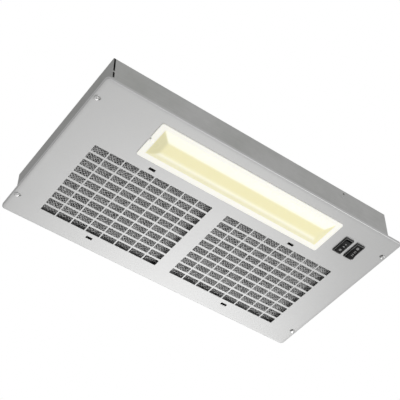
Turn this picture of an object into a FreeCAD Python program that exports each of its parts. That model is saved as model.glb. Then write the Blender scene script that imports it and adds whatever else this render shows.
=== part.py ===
"""Range hood power pack: a twin centrifugal blower, a fluorescent lamp and two rocker switches
in a shallow steel housing, closed from below by a perforated panel with two grease filters.

Row frame, millimetres: the origin is the centre of the four mounting screws on the upper face
of the housing's bottom flange. +X is the cook's right, +Y the wall behind, +Z up.
"""
import FreeCAD, Part
import math
import os

V = FreeCAD.Vector
UP = V(0, 0, 1)
ALONG_X = V(1, 0, 0)
ALONG_Y = V(0, 1, 0)
os.makedirs("parts", exist_ok=True)

# ---- driving dimensions ----
WIDTH = 521.0
DEPTH = 284.0
SHEET = 0.8
LIP_HEIGHT = 4.9
PANEL_CORNER_R = 5.5
Z_UNDER = -2 * SHEET          # underside of the panel
Z_PANEL = -SHEET              # upper face of the panel
HOUSING_W = 494.2
HOUSING_D = 260.6
Z_ROOF = Z_UNDER + 69.2       # top of the shallow housing
Z_COVER = Z_UNDER + 135.0     # top of the raised blower cover
COLLAR_H = 31.0

GRILLE_X = 112.95             # centre of a grille from the middle of the panel
GRILLE_Y = 37.15
GRILLE_COLS = 8
GRILLE_ROWS = 10
CELL_PITCH = (25.2, 15.1)
CELL_SIZE = (23.0, 11.6)
CELL_R = 0.8

CLIP_X = 124.7
CLIP_Y = (-45.2, 120.2)
CLIP_SLOT = (10.5, 5.0)
SCREW_X = 254.5
SCREW_Y = 106.0
SCREW_R = 2.1
SCREW_HEAD = (3.4, 2.0)       # radius and height
SCREW_LENGTH = 18.0
SCREW_HOLE_R = 3.2            # oversize hole in the panel, which lets it be squared up
SCREW_HOLE_SHIFT = 0.85       # how far the hole's middle stands to the front and left of the screw
RIVET_R = 1.6
SHEET_SCREW = (3.6, 2.2, 1.8)  # head radius, head height and shank radius of the roof's screws

LENS_RIM = (-159.4, 161.8, -122.3, -57.6)
LENS_RIM_T = 1.4
LENS_DROP = 9.2
LENS_WALL = 1.5
LAMP_Y = -90.0
LAMP_Z = 18.0
TRAY_X = (-158.8, 157.6)
TRAY_TOP = 44.0

SWITCH_Y = -90.3
FAN_SWITCH_X = 189.3
LIGHT_SWITCH_X = 210.75
BEZEL = (15.3, 32.5, 2.2)
ROCKER_TILT = 13.0
PIVOT_DEPTH = 3.0             # rocker pivot above the panel's underside

FAN_Y = 33.0                  # blower axis, along X
FAN_Z = 79.0
SCROLL_X = 90.0               # middle of each scroll from the middle of the hood
SCROLL_HALF = 33.0
SCROLL_R = 50.0               # radius of the volute's first quarter
SCROLL_STEP = 6.5             # growth of the radius at each quarter
TONGUE_Y = -11.9              # front wall of the outlet from the blower axis
WHEEL_R = 44.0
WHEEL_HALF = 28.0
BLADE_COUNT = 36
INLET_R = 34.5
SHAFT_R = 3.17
BUSH_CLEARANCE = 0.05

COVER_X = 150.0
COVER_Y = (-30.0, 109.0)
COLLAR_W = 254.0
COLLAR_D = 82.6
COLLAR_Y = 60.2
FLAP_Y = 24.0                 # hinge line of the damper flap
FLAP_Z = Z_COVER + 22.0
FLAP_PIN_R = 1.5
WIRING_BOX = (170.0, 235.0, -60.0, 0.0)
WIRING_H = 40.0
KNOCKOUT_R = 11.1
GROMMET = (202.0, -30.0)
LEAD_R = 1.5


# ---- shared shapes ----
def box(x0, x1, y0, y1, z0, z1):
    return Part.makeBox(x1 - x0, y1 - y0, z1 - z0, V(x0, y0, z0))


def rod(radius, start, direction, length):
    return Part.makeCylinder(radius, length, V(*start), direction)


def tube(outer, inner, start, direction, length):
    return rod(outer, start, direction, length).cut(rod(inner, start, direction, length))


def prism(points, offset, along, width):
    """Extrude a polygon, given by points in the plane across `along`, over width from offset."""
    if along == "x":
        corners = [V(offset, a, b) for a, b in points]
        direction = V(width, 0, 0)
    elif along == "y":
        corners = [V(a, offset, b) for a, b in points]
        direction = V(0, width, 0)
    else:
        corners = [V(a, b, offset) for a, b in points]
        direction = V(0, 0, width)
    return Part.Face(Part.makePolygon(corners + corners[:1])).extrude(direction)


def rounded_box(x0, x1, y0, y1, z0, z1, radius):
    """A box with its four upright edges rounded."""
    solid = box(x0, x1, y0, y1, z0, z1)
    upright = [e for e in solid.Edges if abs(e.tangentAt(e.FirstParameter).z) > 0.99]
    return solid.makeFillet(radius, upright)


def edges_at(solid, z):
    """The edges that lie level at height z."""
    return [e for e in solid.Edges if e.BoundBox.ZLength < 0.01 and abs(e.BoundBox.ZMin - z) < 0.01]


def mirrored_x(shape):
    return shape.mirror(V(0, 0, 0), ALONG_X)


def save(name, *solids):
    """Write one node: a single solid, or a group of separate solids."""
    shape = solids[0] if len(solids) == 1 else Part.makeCompound(list(solids))
    shape.exportStep("parts/%s.step" % name)
    bad = [s for s in shape.Solids if not s.isValid()]
    print("%-26s solids %2d  volume %9.1f%s" % (name, len(shape.Solids), shape.Volume,
                                               "  INVALID" if bad else ""))


def screw(x, y, z, head_r, head_h, shank_r, shank_len, up):
    """A pan head screw with its head's bearing face at z, pointing up or down, with a cross recess."""
    way = 1 if up else -1
    head = rod(head_r, (x, y, z), V(0, 0, -way), head_h)
    head = head.makeFillet(head_h * 0.55, edges_at(head, z - way * head_h))
    shank = rod(shank_r, (x, y, z), V(0, 0, way), shank_len - shank_r)
    tip = Part.makeCone(shank_r, 0.4, shank_r, V(x, y, z + way * (shank_len - shank_r)), V(0, 0, way))
    solid = head.fuse([shank, tip])
    arm = head_r * 0.5
    low, high = sorted((z - way * head_h * 1.1, z - way * head_h * 0.4))
    cross = box(x - arm, x + arm, y - 0.35, y + 0.35, low, high)
    cross = cross.fuse(box(x - 0.35, x + 0.35, y - arm, y + arm, low, high))
    return solid.cut(cross)


def mounting_screw(x, y):
    """A screw up through panel and flange, with a neck under its head where it passes both sheets."""
    solid = screw(x, y, Z_UNDER, *SCREW_HEAD, SCREW_R, SCREW_LENGTH, True)
    neck_h = 2 * SHEET + 0.3
    return solid.cut(tube(SCREW_R + 1, SCREW_R - 0.2, (x, y, Z_UNDER), UP, neck_h))


def drill(shape, places, radius):
    """Cut a round hole at each (x, y, z, normal), a few millimetres each way along the normal."""
    reach = 4.0
    holes = [rod(radius, V(x, y, z) - n * reach, n, 2 * reach) for x, y, z, n in places]
    return shape.cut(Part.makeCompound(holes))


def rivet(x, y, z, normal, head_r=2.6, head_h=1.0, depth=2 * SHEET):
    """A blind rivet: domed head outside the sheet, shank through it."""
    head = rod(head_r, (x, y, z), normal, head_h)
    far = [e for e in head.Edges if e.Length > 1 and (e.CenterOfMass - V(x, y, z)).Length > head_h * 0.9
           and e.Curve.TypeId == "Part::GeomCircle"]
    head = head.makeFillet(head_h * 0.6, far)
    return head.fuse(rod(RIVET_R, (x, y, z), normal * -1, depth))


# ---- bottom panel: pressed sheet with an upturned lip, grilles, lamp and switch openings ----
def grille_openings():
    cell = rounded_box(0, CELL_SIZE[0], 0, CELL_SIZE[1], Z_UNDER - 1, Z_PANEL + 1, CELL_R)
    openings = []
    for side in (-1, 1):
        x0 = side * GRILLE_X - ((GRILLE_COLS - 1) * CELL_PITCH[0] + CELL_SIZE[0]) / 2
        y0 = GRILLE_Y - ((GRILLE_ROWS - 1) * CELL_PITCH[1] + CELL_SIZE[1]) / 2
        for col in range(GRILLE_COLS):
            for row in range(GRILLE_ROWS):
                opening = cell.copy()
                opening.translate(V(x0 + col * CELL_PITCH[0], y0 + row * CELL_PITCH[1], 0))
                openings.append(opening)
    return openings


def clip_slots():
    w, d = CLIP_SLOT
    return [rounded_box(s * CLIP_X - w / 2, s * CLIP_X + w / 2, y - d / 2, y + d / 2,
                        Z_UNDER - 1, Z_PANEL + 1, 0.6) for s in (-1, 1) for y in CLIP_Y]


HOOK_Y = (LAMP_Y - 17.0, LAMP_Y + 17.0)
HOOK_W = 8.0
LAMP_WINDOW = (-153.5, 155.5, -117.5, -64.0)


def make_bottom_panel():
    hw, hd = WIDTH / 2, DEPTH / 2
    z_lip = Z_UNDER + LIP_HEIGHT
    outer = rounded_box(-hw, hw, -hd, hd, Z_UNDER, z_lip, PANEL_CORNER_R)
    outer = outer.makeFillet(1.3, edges_at(outer, Z_UNDER))
    inner = rounded_box(-hw + SHEET, hw - SHEET, -hd + SHEET, hd - SHEET, Z_PANEL, z_lip + 1,
                        PANEL_CORNER_R - SHEET)
    inner = inner.makeFillet(0.5, edges_at(inner, Z_PANEL))
    panel = outer.cut(inner)
    cutters = grille_openings() + clip_slots()
    cutters.append(rounded_box(*LAMP_WINDOW, Z_UNDER - 1, Z_PANEL + 1, 3.0))
    for y in HOOK_Y:
        cutters.append(box(LENS_RIM[1] - 4.2, LENS_RIM[1] + 0.3, y - HOOK_W / 2 - 0.4,
                           y + HOOK_W / 2 + 0.4, Z_UNDER - 1, Z_PANEL + 1))
    for x in (FAN_SWITCH_X, LIGHT_SWITCH_X):
        cutters.append(box(x - 6.65, x + 6.65, SWITCH_Y - 14.9, SWITCH_Y + 14.9, Z_UNDER - 1, Z_PANEL + 1))
    for x in (-SCREW_X, SCREW_X):
        for y in (-SCREW_Y, SCREW_Y):
            middle = (x - SCREW_HOLE_SHIFT, y - SCREW_HOLE_SHIFT, Z_UNDER - 1)
            cutters.append(rod(SCREW_HOLE_R, middle, UP, 3))
    return panel.cut(Part.makeCompound(cutters))


# ---- housing: one folded wrap for front, roof and back, with an end panel at each side ----
SLOT_W = 3.0
SLOT_Z = (Z_UNDER + 25.6, Z_UNDER + 37.2)
BRIDGE_TOP = Z_UNDER + 40.0
ROOF_CUT = (-148.0, 148.0, COVER_Y[0] + 2, COVER_Y[1] - 2)
WALL_HOLE = (163.4, Z_UNDER + 60.9)
WALL_RIVET = (160.5, Z_UNDER + 52.4)


def corner_rivet_places():
    """Where the wrap is riveted to the end panels' returned edges."""
    hw, hd = HOUSING_W / 2, HOUSING_D / 2
    places = []
    for x in (-hw + 8, hw - 8):
        places += [(x, side * hd, 12, V(0, side, 0)) for side in (-1, 1)]
        places += [(x, y, Z_ROOF, UP) for y in (-90, 0, 90)]
    return places


def make_housing_wrap():
    hw, hd = HOUSING_W / 2, HOUSING_D / 2
    outer = box(-hw, hw, -hd, hd, -SHEET, Z_ROOF)
    folds = [e for e in outer.Edges if abs(e.BoundBox.ZMin - Z_ROOF) < 0.01 and e.BoundBox.YLength < 0.01
             and e.BoundBox.XLength > 1]
    outer = outer.makeFillet(1.5, folds)
    inner = box(-hw - 1, hw + 1, -hd + SHEET, hd - SHEET, -SHEET - 1, Z_ROOF - SHEET)
    wrap = outer.cut(inner)
    flange_x = hw - SHEET - 0.1
    edge = DEPTH / 2 - 2.0
    wrap = wrap.fuse([box(-flange_x, flange_x, -edge, -hd + SHEET, -SHEET, 0),
                      box(-flange_x, flange_x, hd - SHEET, edge, -SHEET, 0)])
    cutters = [box(*ROOF_CUT, Z_ROOF - 3, Z_ROOF + 3)]
    for y in (-hd, hd):
        cutters.append(box(-hw - 1, -hw + SLOT_W, y - 2, y + 2, SLOT_Z[0], SLOT_Z[1]))
        cutters.append(box(-hw - 1, -hw + SLOT_W, y - 2, y + 2, BRIDGE_TOP, Z_ROOF - 1.0))
    for side in (-1, 1):
        x0, x1 = sorted((side * (hw + 1), side * (hw - SHEET)))
        cutters.append(box(x0, x1, -edge, edge, -SHEET - 1, 0))
    for x, z in (WALL_HOLE, WALL_RIVET):
        cutters.append(rod(RIVET_R, (x, -hd - 2, z), ALONG_Y, 4))
    cutters.append(rod(8.0, (GROMMET[0], GROMMET[1], Z_ROOF - 3), UP, 6))
    wrap = wrap.cut(Part.makeCompound(cutters)).removeSplitter()
    wrap = drill(wrap, corner_rivet_places(), RIVET_R)
    return drill(wrap, [(x, y, Z_ROOF, UP) for x, y in cover_screw_places()], SHEET_SCREW[2])


def make_end_panel_right():
    hw, hd = HOUSING_W / 2, HOUSING_D / 2
    gap = 0.1
    reach = 13.0
    wall = box(hw - SHEET, hw, -hd + SHEET + gap, hd - SHEET - gap, -SHEET, Z_ROOF - SHEET)
    foot = box(hw - SHEET, WIDTH / 2 - 1.6, -DEPTH / 2 + 3, DEPTH / 2 - 3, -SHEET, 0)
    top = box(hw - reach, hw, -hd + 6, hd - 6, Z_ROOF - 2 * SHEET, Z_ROOF - SHEET)
    panel = wall.fuse([foot, top])
    returns = []
    for side in (-1, 1):
        y0, y1 = sorted((side * (hd - SHEET - gap), side * (hd - 2 * SHEET - gap)))
        returns.append(box(hw - reach, hw, y0, y1, 0, SLOT_Z[0] - 2))
    panel = panel.fuse(returns)
    panel = drill(panel, [(SCREW_X, y, 0, UP) for y in (-SCREW_Y, SCREW_Y)], SCREW_R + 0.2)
    return drill(panel.removeSplitter(), corner_rivet_places(), RIVET_R)


def corner_rivets():
    """The end panels' rivets, and the one that holds the ballast's strap to the front wall."""
    strap_rivet = rivet(WALL_RIVET[0], -HOUSING_D / 2, WALL_RIVET[1], V(0, -1, 0), 1.9, 0.7, 1.2)
    return [strap_rivet] + [rivet(*place) for place in corner_rivet_places()]


# ---- blower cover and duct collar on the roof ----
def make_blower_cover():
    y0, y1 = COVER_Y
    outer = rounded_box(-COVER_X, COVER_X, y0, y1, Z_ROOF, Z_COVER, 6.0)
    outer = outer.makeFillet(2.5, edges_at(outer, Z_COVER))
    inner = rounded_box(-COVER_X + SHEET, COVER_X - SHEET, y0 + SHEET, y1 - SHEET, Z_ROOF - 1,
                        Z_COVER - SHEET, 5.2)
    inner = inner.makeFillet(1.7, edges_at(inner, Z_COVER - SHEET))
    flange = rounded_box(-COVER_X - 11, COVER_X + 11, y0 - 11, y1 + 11, Z_ROOF, Z_ROOF + SHEET, 8.0)
    cover = outer.fuse(flange).cut(inner)
    outlet = scroll_outlet()
    for side in (-1, 1):
        x0, x1 = sorted((side * (SCROLL_X - SCROLL_HALF), side * (SCROLL_X + SCROLL_HALF)))
        cover = cover.cut(box(x0, x1, outlet[0], outlet[1], Z_COVER - 3, Z_COVER + 3))
    cover = drill(cover, [(x, y, Z_ROOF, UP) for x, y in cover_screw_places()], SHEET_SCREW[2])
    cover = drill(cover, motor_screw_places(), SHEET_SCREW[2])
    return drill(cover, collar_rivet_places(), RIVET_R)


def cover_screw_places():
    y0, y1 = COVER_Y[0] - 6, COVER_Y[1] + 6
    places = [(x, y) for x in (-140, -48, 48, 140) for y in (y0, y1)]
    return places + [(x, y) for x in (-156, 156) for y in (10, 70)]


def make_duct_collar():
    w, y0, y1 = COLLAR_W / 2, COLLAR_Y - COLLAR_D / 2, COLLAR_Y + COLLAR_D / 2
    top = Z_COVER + COLLAR_H
    wall = rounded_box(-w, w, y0, y1, Z_COVER, top, 2.0)
    flange = rounded_box(-w - 9, w + 9, y0 - 9, y1 + 6, Z_COVER, Z_COVER + SHEET, 3.0)
    collar = wall.fuse(flange)
    collar = collar.cut(rounded_box(-w + SHEET, w - SHEET, y0 + SHEET, y1 - SHEET, Z_COVER - 1, top + 1, 1.2))
    collar = collar.cut(rod(FLAP_PIN_R + 0.05, (-w - 1, FLAP_Y, FLAP_Z), ALONG_X, COLLAR_W + 2))
    stops = []
    for side in (-1, 1):
        x0, x1 = sorted((side * (w - SHEET), side * (w - 5)))
        stops.append(box(x0, x1, y1 - 22, y1 - 12, FLAP_Z - 2.1, FLAP_Z - 1.3))
    return drill(collar.fuse(stops), collar_rivet_places(), RIVET_R)


def collar_rivet_places():
    front, side = COLLAR_Y - COLLAR_D / 2 - 5, COLLAR_W / 2 + 5
    places = [(x, front) for x in (-110, -40, 40, 110)] + [(-side, COLLAR_Y + 24), (side, COLLAR_Y + 24)]
    return [(x, y, Z_COVER + SHEET, UP) for x, y in places]


def make_damper_flap():
    """A flat flap with its front edge rolled round the hinge rod and a stiffening bead."""
    half = COLLAR_W / 2 - SHEET - 1.5
    rear = COLLAR_Y + COLLAR_D / 2 - SHEET - 1.5
    plate = box(-half, half, FLAP_Y, rear, FLAP_Z - 0.4, FLAP_Z + 0.4)
    roll = rod(FLAP_PIN_R + 1.0, (-half, FLAP_Y, FLAP_Z), ALONG_X, 2 * half)
    bead = rod(1.6, (-half + 12, rear - 28, FLAP_Z), ALONG_X, 2 * half - 24)
    flap = plate.fuse([roll, bead])
    return flap.cut(rod(FLAP_PIN_R, (-half - 1, FLAP_Y, FLAP_Z), ALONG_X, 2 * half + 2))


def make_damper_rod():
    half = COLLAR_W / 2 + 1.5
    return rod(FLAP_PIN_R, (-half, FLAP_Y, FLAP_Z), ALONG_X, 2 * half)


# ---- twin blower: two scrolls, each a wrap between two inlet plates ----
def scroll_outlet():
    """Front and rear of the outlet, inside the scroll's walls."""
    return FAN_Y + TONGUE_Y, FAN_Y + SCROLL_STEP / 2 + SCROLL_R + 2 * SCROLL_STEP


def scroll_face(x, grow):
    """The volute's outline grown by a sheet thickness: three quarter arcs and a straight outlet."""
    half = SCROLL_STEP / 2
    r1 = SCROLL_R + grow
    r2 = r1 + SCROLL_STEP
    r3 = r2 + SCROLL_STEP
    top = Z_COVER - SHEET
    front_y = FAN_Y + TONGUE_Y - grow
    rear_y = FAN_Y + half + r3

    def on_arc(cy, cz, radius, degrees):
        a = math.radians(degrees)
        return V(x, FAN_Y + cy + radius * math.cos(a), FAN_Z + cz + radius * math.sin(a))

    start = math.degrees(math.acos((TONGUE_Y - grow + half) / r1))
    tongue = on_arc(-half, -half, r1, start)
    front = on_arc(-half, -half, r1, 180)
    bottom = on_arc(half, -half, r2, 270)
    rear = on_arc(half, half, r3, 360)
    corner_a = V(x, front_y, top)
    corner_b = V(x, rear_y, top)
    edges = [Part.LineSegment(corner_a, tongue).toShape(),
             Part.Arc(tongue, on_arc(-half, -half, r1, (start + 180) / 2), front).toShape(),
             Part.Arc(front, on_arc(half, -half, r2, 225), bottom).toShape(),
             Part.Arc(bottom, on_arc(half, half, r3, 315), rear).toShape(),
             Part.LineSegment(rear, corner_b).toShape(),
             Part.LineSegment(corner_b, corner_a).toShape()]
    return Part.Face(Part.Wire(edges))


def make_scroll_wrap():
    x0 = SCROLL_X - SCROLL_HALF
    band = scroll_face(x0, SHEET).extrude(V(2 * SCROLL_HALF, 0, 0))
    return band.cut(scroll_face(x0, 0).extrude(V(2 * SCROLL_HALF, 0, 0)))


def make_inlet_plate(outer_side):
    """A scroll's side plate, with a rolled inlet mouth turned towards the wheel."""
    way = 1 if outer_side else -1
    face_x = SCROLL_X + way * SCROLL_HALF
    plate = scroll_face(face_x, SHEET).extrude(V(way * SHEET, 0, 0))
    centre = (face_x + way * SHEET, FAN_Y, FAN_Z)
    mouth = rod(INLET_R + SHEET, centre, V(-way, 0, 0), SHEET + 3)
    hole = rod(INLET_R, (face_x + way * 2, FAN_Y, FAN_Z), V(-way, 0, 0), 8)
    return plate.fuse(mouth).cut(hole)


def wheel_blade():
    """One forward-curved blade, overlapping both end rings."""
    def at(radius, degrees):
        a = math.radians(degrees)
        return V(SCROLL_X - WHEEL_HALF, FAN_Y + radius * math.cos(a), FAN_Z + radius * math.sin(a))
    inner, outer, middle = WHEEL_R - 7.6, WHEEL_R - 0.5, WHEEL_R - 3.7
    thick = 0.9
    edges = [Part.Arc(at(inner, 0), at(middle, 2.2), at(outer, 8)).toShape(),
             Part.LineSegment(at(outer, 8), at(outer, 8 + thick)).toShape(),
             Part.Arc(at(outer, 8 + thick), at(middle, 2.2 + thick), at(inner, thick)).toShape(),
             Part.LineSegment(at(inner, thick), at(inner, 0)).toShape()]
    return Part.Face(Part.Wire(edges)).extrude(V(2 * WHEEL_HALF, 0, 0))


def make_wheel():
    x0, x1 = SCROLL_X - WHEEL_HALF, SCROLL_X + WHEEL_HALF
    ring_w = 1.2
    parts = [tube(WHEEL_R, WHEEL_R - 8, (x, FAN_Y, FAN_Z), ALONG_X, ring_w) for x in (x0, x1 - ring_w)]
    disc = rod(WHEEL_R - 1, (SCROLL_X - 0.6, FAN_Y, FAN_Z), ALONG_X, 1.2)
    parts.append(rod(8.5, (SCROLL_X - 11, FAN_Y, FAN_Z), ALONG_X, 22))
    blade = wheel_blade()
    for i in range(BLADE_COUNT):
        copy = blade.copy()
        copy.rotate(V(0, FAN_Y, FAN_Z), ALONG_X, i * 360.0 / BLADE_COUNT)
        parts.append(copy)
    wheel = disc.fuse(parts)
    return wheel.cut(rod(SHAFT_R, (SCROLL_X - 20, FAN_Y, FAN_Z), ALONG_X, 40))


# ---- motor: shaded-pole C frame between the scrolls ----
STACK_HALF = 13.0
ROTOR_R = 17.0
BRACKET_X = 27.0


def make_motor_stack():
    y0, y1, z0, z1 = FAN_Y - 39, FAN_Y + 39, FAN_Z - 27, FAN_Z + 27
    stack = box(-STACK_HALF, STACK_HALF, y0, y1, z0, z1)
    window = box(-20, 20, FAN_Y + 18.5 + 4, y1 - 9, z0 + 12, z1 - 12)
    bore = rod(ROTOR_R + 0.5, (-20, FAN_Y, FAN_Z), ALONG_X, 40)
    return stack.cut(window).cut(bore)


def make_motor_coil():
    """The winding round the stack's rear limb."""
    y1 = FAN_Y + 39
    limb = (y1 - 9, y1)
    half_x, half_z = STACK_HALF + 7, 14.5
    outer = rounded_box(-half_x, half_x, limb[0] - 6, limb[1] + 7, FAN_Z - half_z, FAN_Z + half_z, 4)
    return outer.cut(box(-STACK_HALF, STACK_HALF, limb[0], limb[1], FAN_Z - 20, FAN_Z + 20))


def make_bearing_bracket():
    """A bridge screwed to the stack's right face, holding the shaft's bearing."""
    bridge = box(BRACKET_X, BRACKET_X + 2, FAN_Y - 11, FAN_Y + 11, FAN_Z - 25, FAN_Z + 25)
    boss = rod(9.5, (BRACKET_X - 3, FAN_Y, FAN_Z), ALONG_X, 9)
    bracket = bridge.fuse(boss)
    for side in (-1, 1):
        z0, z1 = sorted((FAN_Z + side * 25, FAN_Z + side * 19))
        bracket = bracket.fuse(box(STACK_HALF, BRACKET_X + 1, FAN_Y - 5, FAN_Y + 5, z0, z1))
    return bracket.cut(rod(7.0, (BRACKET_X - 5, FAN_Y, FAN_Z), ALONG_X, 15))


def make_bearing_bush():
    return tube(7.0, SHAFT_R + BUSH_CLEARANCE, (BRACKET_X - 3, FAN_Y, FAN_Z), ALONG_X, 9)


def make_motor_bracket():
    """An inverted U that hangs the motor from the blower cover."""
    top = Z_COVER - SHEET
    y0, y1 = FAN_Y - 39, FAN_Y + 39
    strap = drill(box(-11, 11, y0 - 1.5, y1 + 1.5, top - 1.5, top), motor_screw_places(), SHEET_SCREW[2])
    front = box(-11, 11, y0 - 1.5, y0, FAN_Z + 10, top)
    rear = box(-11, 11, y1, y1 + 1.5, FAN_Z + 16, top)
    return strap.fuse([front, rear])


def motor_screw_places():
    return [(x, FAN_Y - 34, Z_COVER, UP) for x in (-6, 6)]


# ---- lamp: tube, holders, reflector tray, ballast, lens and its catch ----
def make_reflector_tray():
    x0, x1 = TRAY_X
    z0 = Z_PANEL
    skin = 0.6
    outer = [(-120.5, z0), (-120.5, 26), (-106, TRAY_TOP), (-74, TRAY_TOP), (-60.5, 26), (-60.5, z0)]
    inner = [(-120.5 + skin, z0 - 1), (-120.5 + skin, 25.8), (-105.7, TRAY_TOP - skin),
             (-74.3, TRAY_TOP - skin), (-60.5 - skin, 25.8), (-60.5 - skin, z0 - 1)]
    tray = prism(outer, x0, "x", x1 - x0)
    tray = tray.fuse([box(x0, x1, -127.5, -120, z0, z0 + skin), box(x0, x1, -61, -54.5, z0, z0 + skin)])
    tray = tray.cut(prism(inner, x0 + SHEET, "x", x1 - x0 - 2 * SHEET))
    return tray.cut(rod(3.0, (x1 - 2, LAMP_Y + 5, LAMP_Z + 8), ALONG_X, 4))


CAP_FACE = 144.15
PIN_REACH = 7.0
HOLDER_GAP = 0.7


def make_lampholder_right():
    x0, x1 = CAP_FACE + HOLDER_GAP, TRAY_X[1] - SHEET
    body = rounded_box(x0, x1, LAMP_Y - 9, LAMP_Y + 9, LAMP_Z - 9, LAMP_Z + 13, 1.5)
    body = body.cut(rod(4.4, (x0 - 1, LAMP_Y, LAMP_Z), ALONG_X, PIN_REACH + 1))
    return body.cut(box(x0 - 1, x0 + PIN_REACH, LAMP_Y - 1.6, LAMP_Y + 1.6, LAMP_Z - 12, LAMP_Z))


def make_lampholder_left():
    """The same holder on a spacer, because the tray is longer at its left end."""
    holder = mirrored_x(make_lampholder_right())
    filler = box(TRAY_X[0] + SHEET, -TRAY_X[1] + SHEET + 0.5, LAMP_Y - 7, LAMP_Y + 7,
                 LAMP_Z - 7, LAMP_Z + 11)
    return holder.fuse(filler)


def make_lamp_glass():
    return tube(7.9, 7.2, (-CAP_FACE + 8, LAMP_Y, LAMP_Z), ALONG_X, 2 * CAP_FACE - 16)


def lamp_caps():
    caps = []
    for side in (-1, 1):
        way = V(-side, 0, 0)
        cap = rod(8.0, (side * CAP_FACE, LAMP_Y, LAMP_Z), way, 8)
        pins = [rod(1.2, (side * CAP_FACE, LAMP_Y, LAMP_Z + dz), V(side, 0, 0), PIN_REACH)
                for dz in (-2.5, 2.5)]
        caps.append(cap.fuse(pins))
    return caps


END_SLOPE = 16.0


def dome_solid(rise):
    """The lens's dropped dome as a solid, lifted by rise: flat front slope, flat bottom,
    rounded rear shoulder, and a slope at each end."""
    z = Z_UNDER + rise
    low = z - LENS_DROP
    points = [V(0, -117, z), V(0, -103.3, low), V(0, -86.6, low)]
    shoulder = Part.BSplineCurve()
    back = V(0, -64.5, z)
    bend = [points[2], V(0, -80.2, z - 8.0), V(0, -74.6, z - 5.8), V(0, -69.6, z - 2.9), back]
    shoulder.interpolate(bend, InitialTangent=V(0, 1, 0), FinalTangent=V(0, 1, 0.42))
    top = z + 6
    outline = [Part.LineSegment(V(0, -117, top), points[0]).toShape(),
               Part.LineSegment(points[0], points[1]).toShape(),
               Part.LineSegment(points[1], points[2]).toShape(),
               shoulder.toShape(),
               Part.LineSegment(back, V(0, -64.5, top)).toShape(),
               Part.LineSegment(V(0, -64.5, top), V(0, -117, top)).toShape()]
    bar = Part.Face(Part.Wire(outline)).extrude(V(340, 0, 0))
    bar.translate(V(-170, 0, 0))
    left, right = -153, 155.1
    ends = prism([(left, top), (left, z), (left + END_SLOPE, low), (right - END_SLOPE, low),
                  (right, z), (right, top)], -130, "y", 90)
    return bar.common(ends)


def make_lens():
    x0, x1, y0, y1 = LENS_RIM
    rim = rounded_box(x0, x1, y0, y1, Z_UNDER - LENS_RIM_T, Z_UNDER, 3.0)
    rim = rim.makeFillet(0.6, edges_at(rim, Z_UNDER - LENS_RIM_T))
    dome = dome_solid(0).common(box(-170, 170, -130, -50, Z_UNDER - 20, Z_UNDER))
    lens = rim.fuse(dome).cut(dome_solid(LENS_WALL))
    lens = lens.cut(rod(2.2, (x0 + 0.6, LAMP_Y - 1.4, Z_UNDER - 5), UP, 4.4))
    for y in HOOK_Y:
        stem = box(x1 - 2.8, x1 - 1.3, y - HOOK_W / 2, y + HOOK_W / 2, Z_UNDER - 0.5, Z_PANEL + 2.0)
        foot = box(x1 - 2.8, x1 + 2.7, y - HOOK_W / 2, y + HOOK_W / 2, Z_PANEL + 0.5, Z_PANEL + 2.0)
        lens = lens.fuse([stem, foot])
    finger = box(-151.2, -149.7, LAMP_Y - 5, LAMP_Y + 5, Z_UNDER - 1.2, Z_PANEL + 7)
    return lens.fuse(finger).removeSplitter()


def make_lens_catch():
    """A spring steel saddle inside the tray: two leaves grip the lens's finger."""
    y0, y1 = LAMP_Y - 6, LAMP_Y + 6
    base = box(-157.9, -153.6, y0, y1, Z_PANEL, Z_PANEL + 0.5)
    post = box(-154.1, -153.6, y0, y1, Z_PANEL, Z_PANEL + 8)
    grip = prism([(-154.1, Z_PANEL + 8), (-152.0, Z_PANEL + 5), (-152.0, Z_PANEL + 4.4),
                  (-154.1, Z_PANEL + 7)], y0, "y", y1 - y0)
    return base.fuse([post, grip])


def make_ballast():
    core = rounded_box(-226, -162, -118, -80, 33, 64.5, 2.0)
    strap = box(-233, -155, -106, -92, 64.5, Z_ROOF - SHEET)
    return core.fuse(strap)


# ---- switches: a snap-in body, a rocker on two pins and flat terminals ----
def make_switch_body(x):
    y = SWITCH_Y
    face = Z_UNDER - BEZEL[2]
    half_w, half_l = BEZEL[0] / 2, BEZEL[1] / 2
    bezel = rounded_box(x - half_w, x + half_w, y - half_l, y + half_l, face, Z_UNDER, 1.0)
    bezel = bezel.makeFillet(0.7, edges_at(bezel, face))
    body = bezel.fuse(box(x - 6.55, x + 6.55, y - 14.8, y + 14.8, Z_UNDER, Z_UNDER + 16))
    body = body.cut(box(x - 5.7, x + 5.7, y - 14.0, y + 14.0, face - 1, Z_UNDER + 9.5))
    return body.cut(rod(1.25, (x - 6.3, y, Z_UNDER + PIVOT_DEPTH), ALONG_X, 12.6))


def make_rocker(x, tilt):
    y = SWITCH_Y
    z = Z_UNDER
    end, crown, waist = 12.3, 4.2, 3.3
    outline = [(y - end, z - crown), (y - 3.0, z - waist), (y + 3.0, z - waist), (y + end, z - crown),
               (y + end + 0.3, z + 1), (y + 7, z + 4.8), (y - 7, z + 4.8), (y - end - 0.3, z + 1)]
    rocker = prism(outline, x - 5.45, "x", 10.9)
    for side in (-1, 1):
        for i in range(3):
            rib_y = y + side * (0.65 + 1.0 * i)
            rocker = rocker.fuse(box(x - 4.4, x + 4.4, rib_y - 0.25, rib_y + 0.25,
                                     z - waist - 0.35, z - waist + 0.5))
    pin = rod(1.2, (x - 6.2, y, z + PIVOT_DEPTH), ALONG_X, 12.4)
    rocker = rocker.fuse(pin)
    rocker.rotate(V(x, y, z + PIVOT_DEPTH), ALONG_X, tilt)
    return rocker


def switch_terminals(x, count):
    z0 = Z_UNDER + 16
    span = 9.0
    places = [(i - (count - 1) / 2) * span for i in range(count)]
    return [box(x - 3.15, x + 3.15, SWITCH_Y + d - 0.4, SWITCH_Y + d + 0.4, z0, z0 + 8) for d in places]


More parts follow.
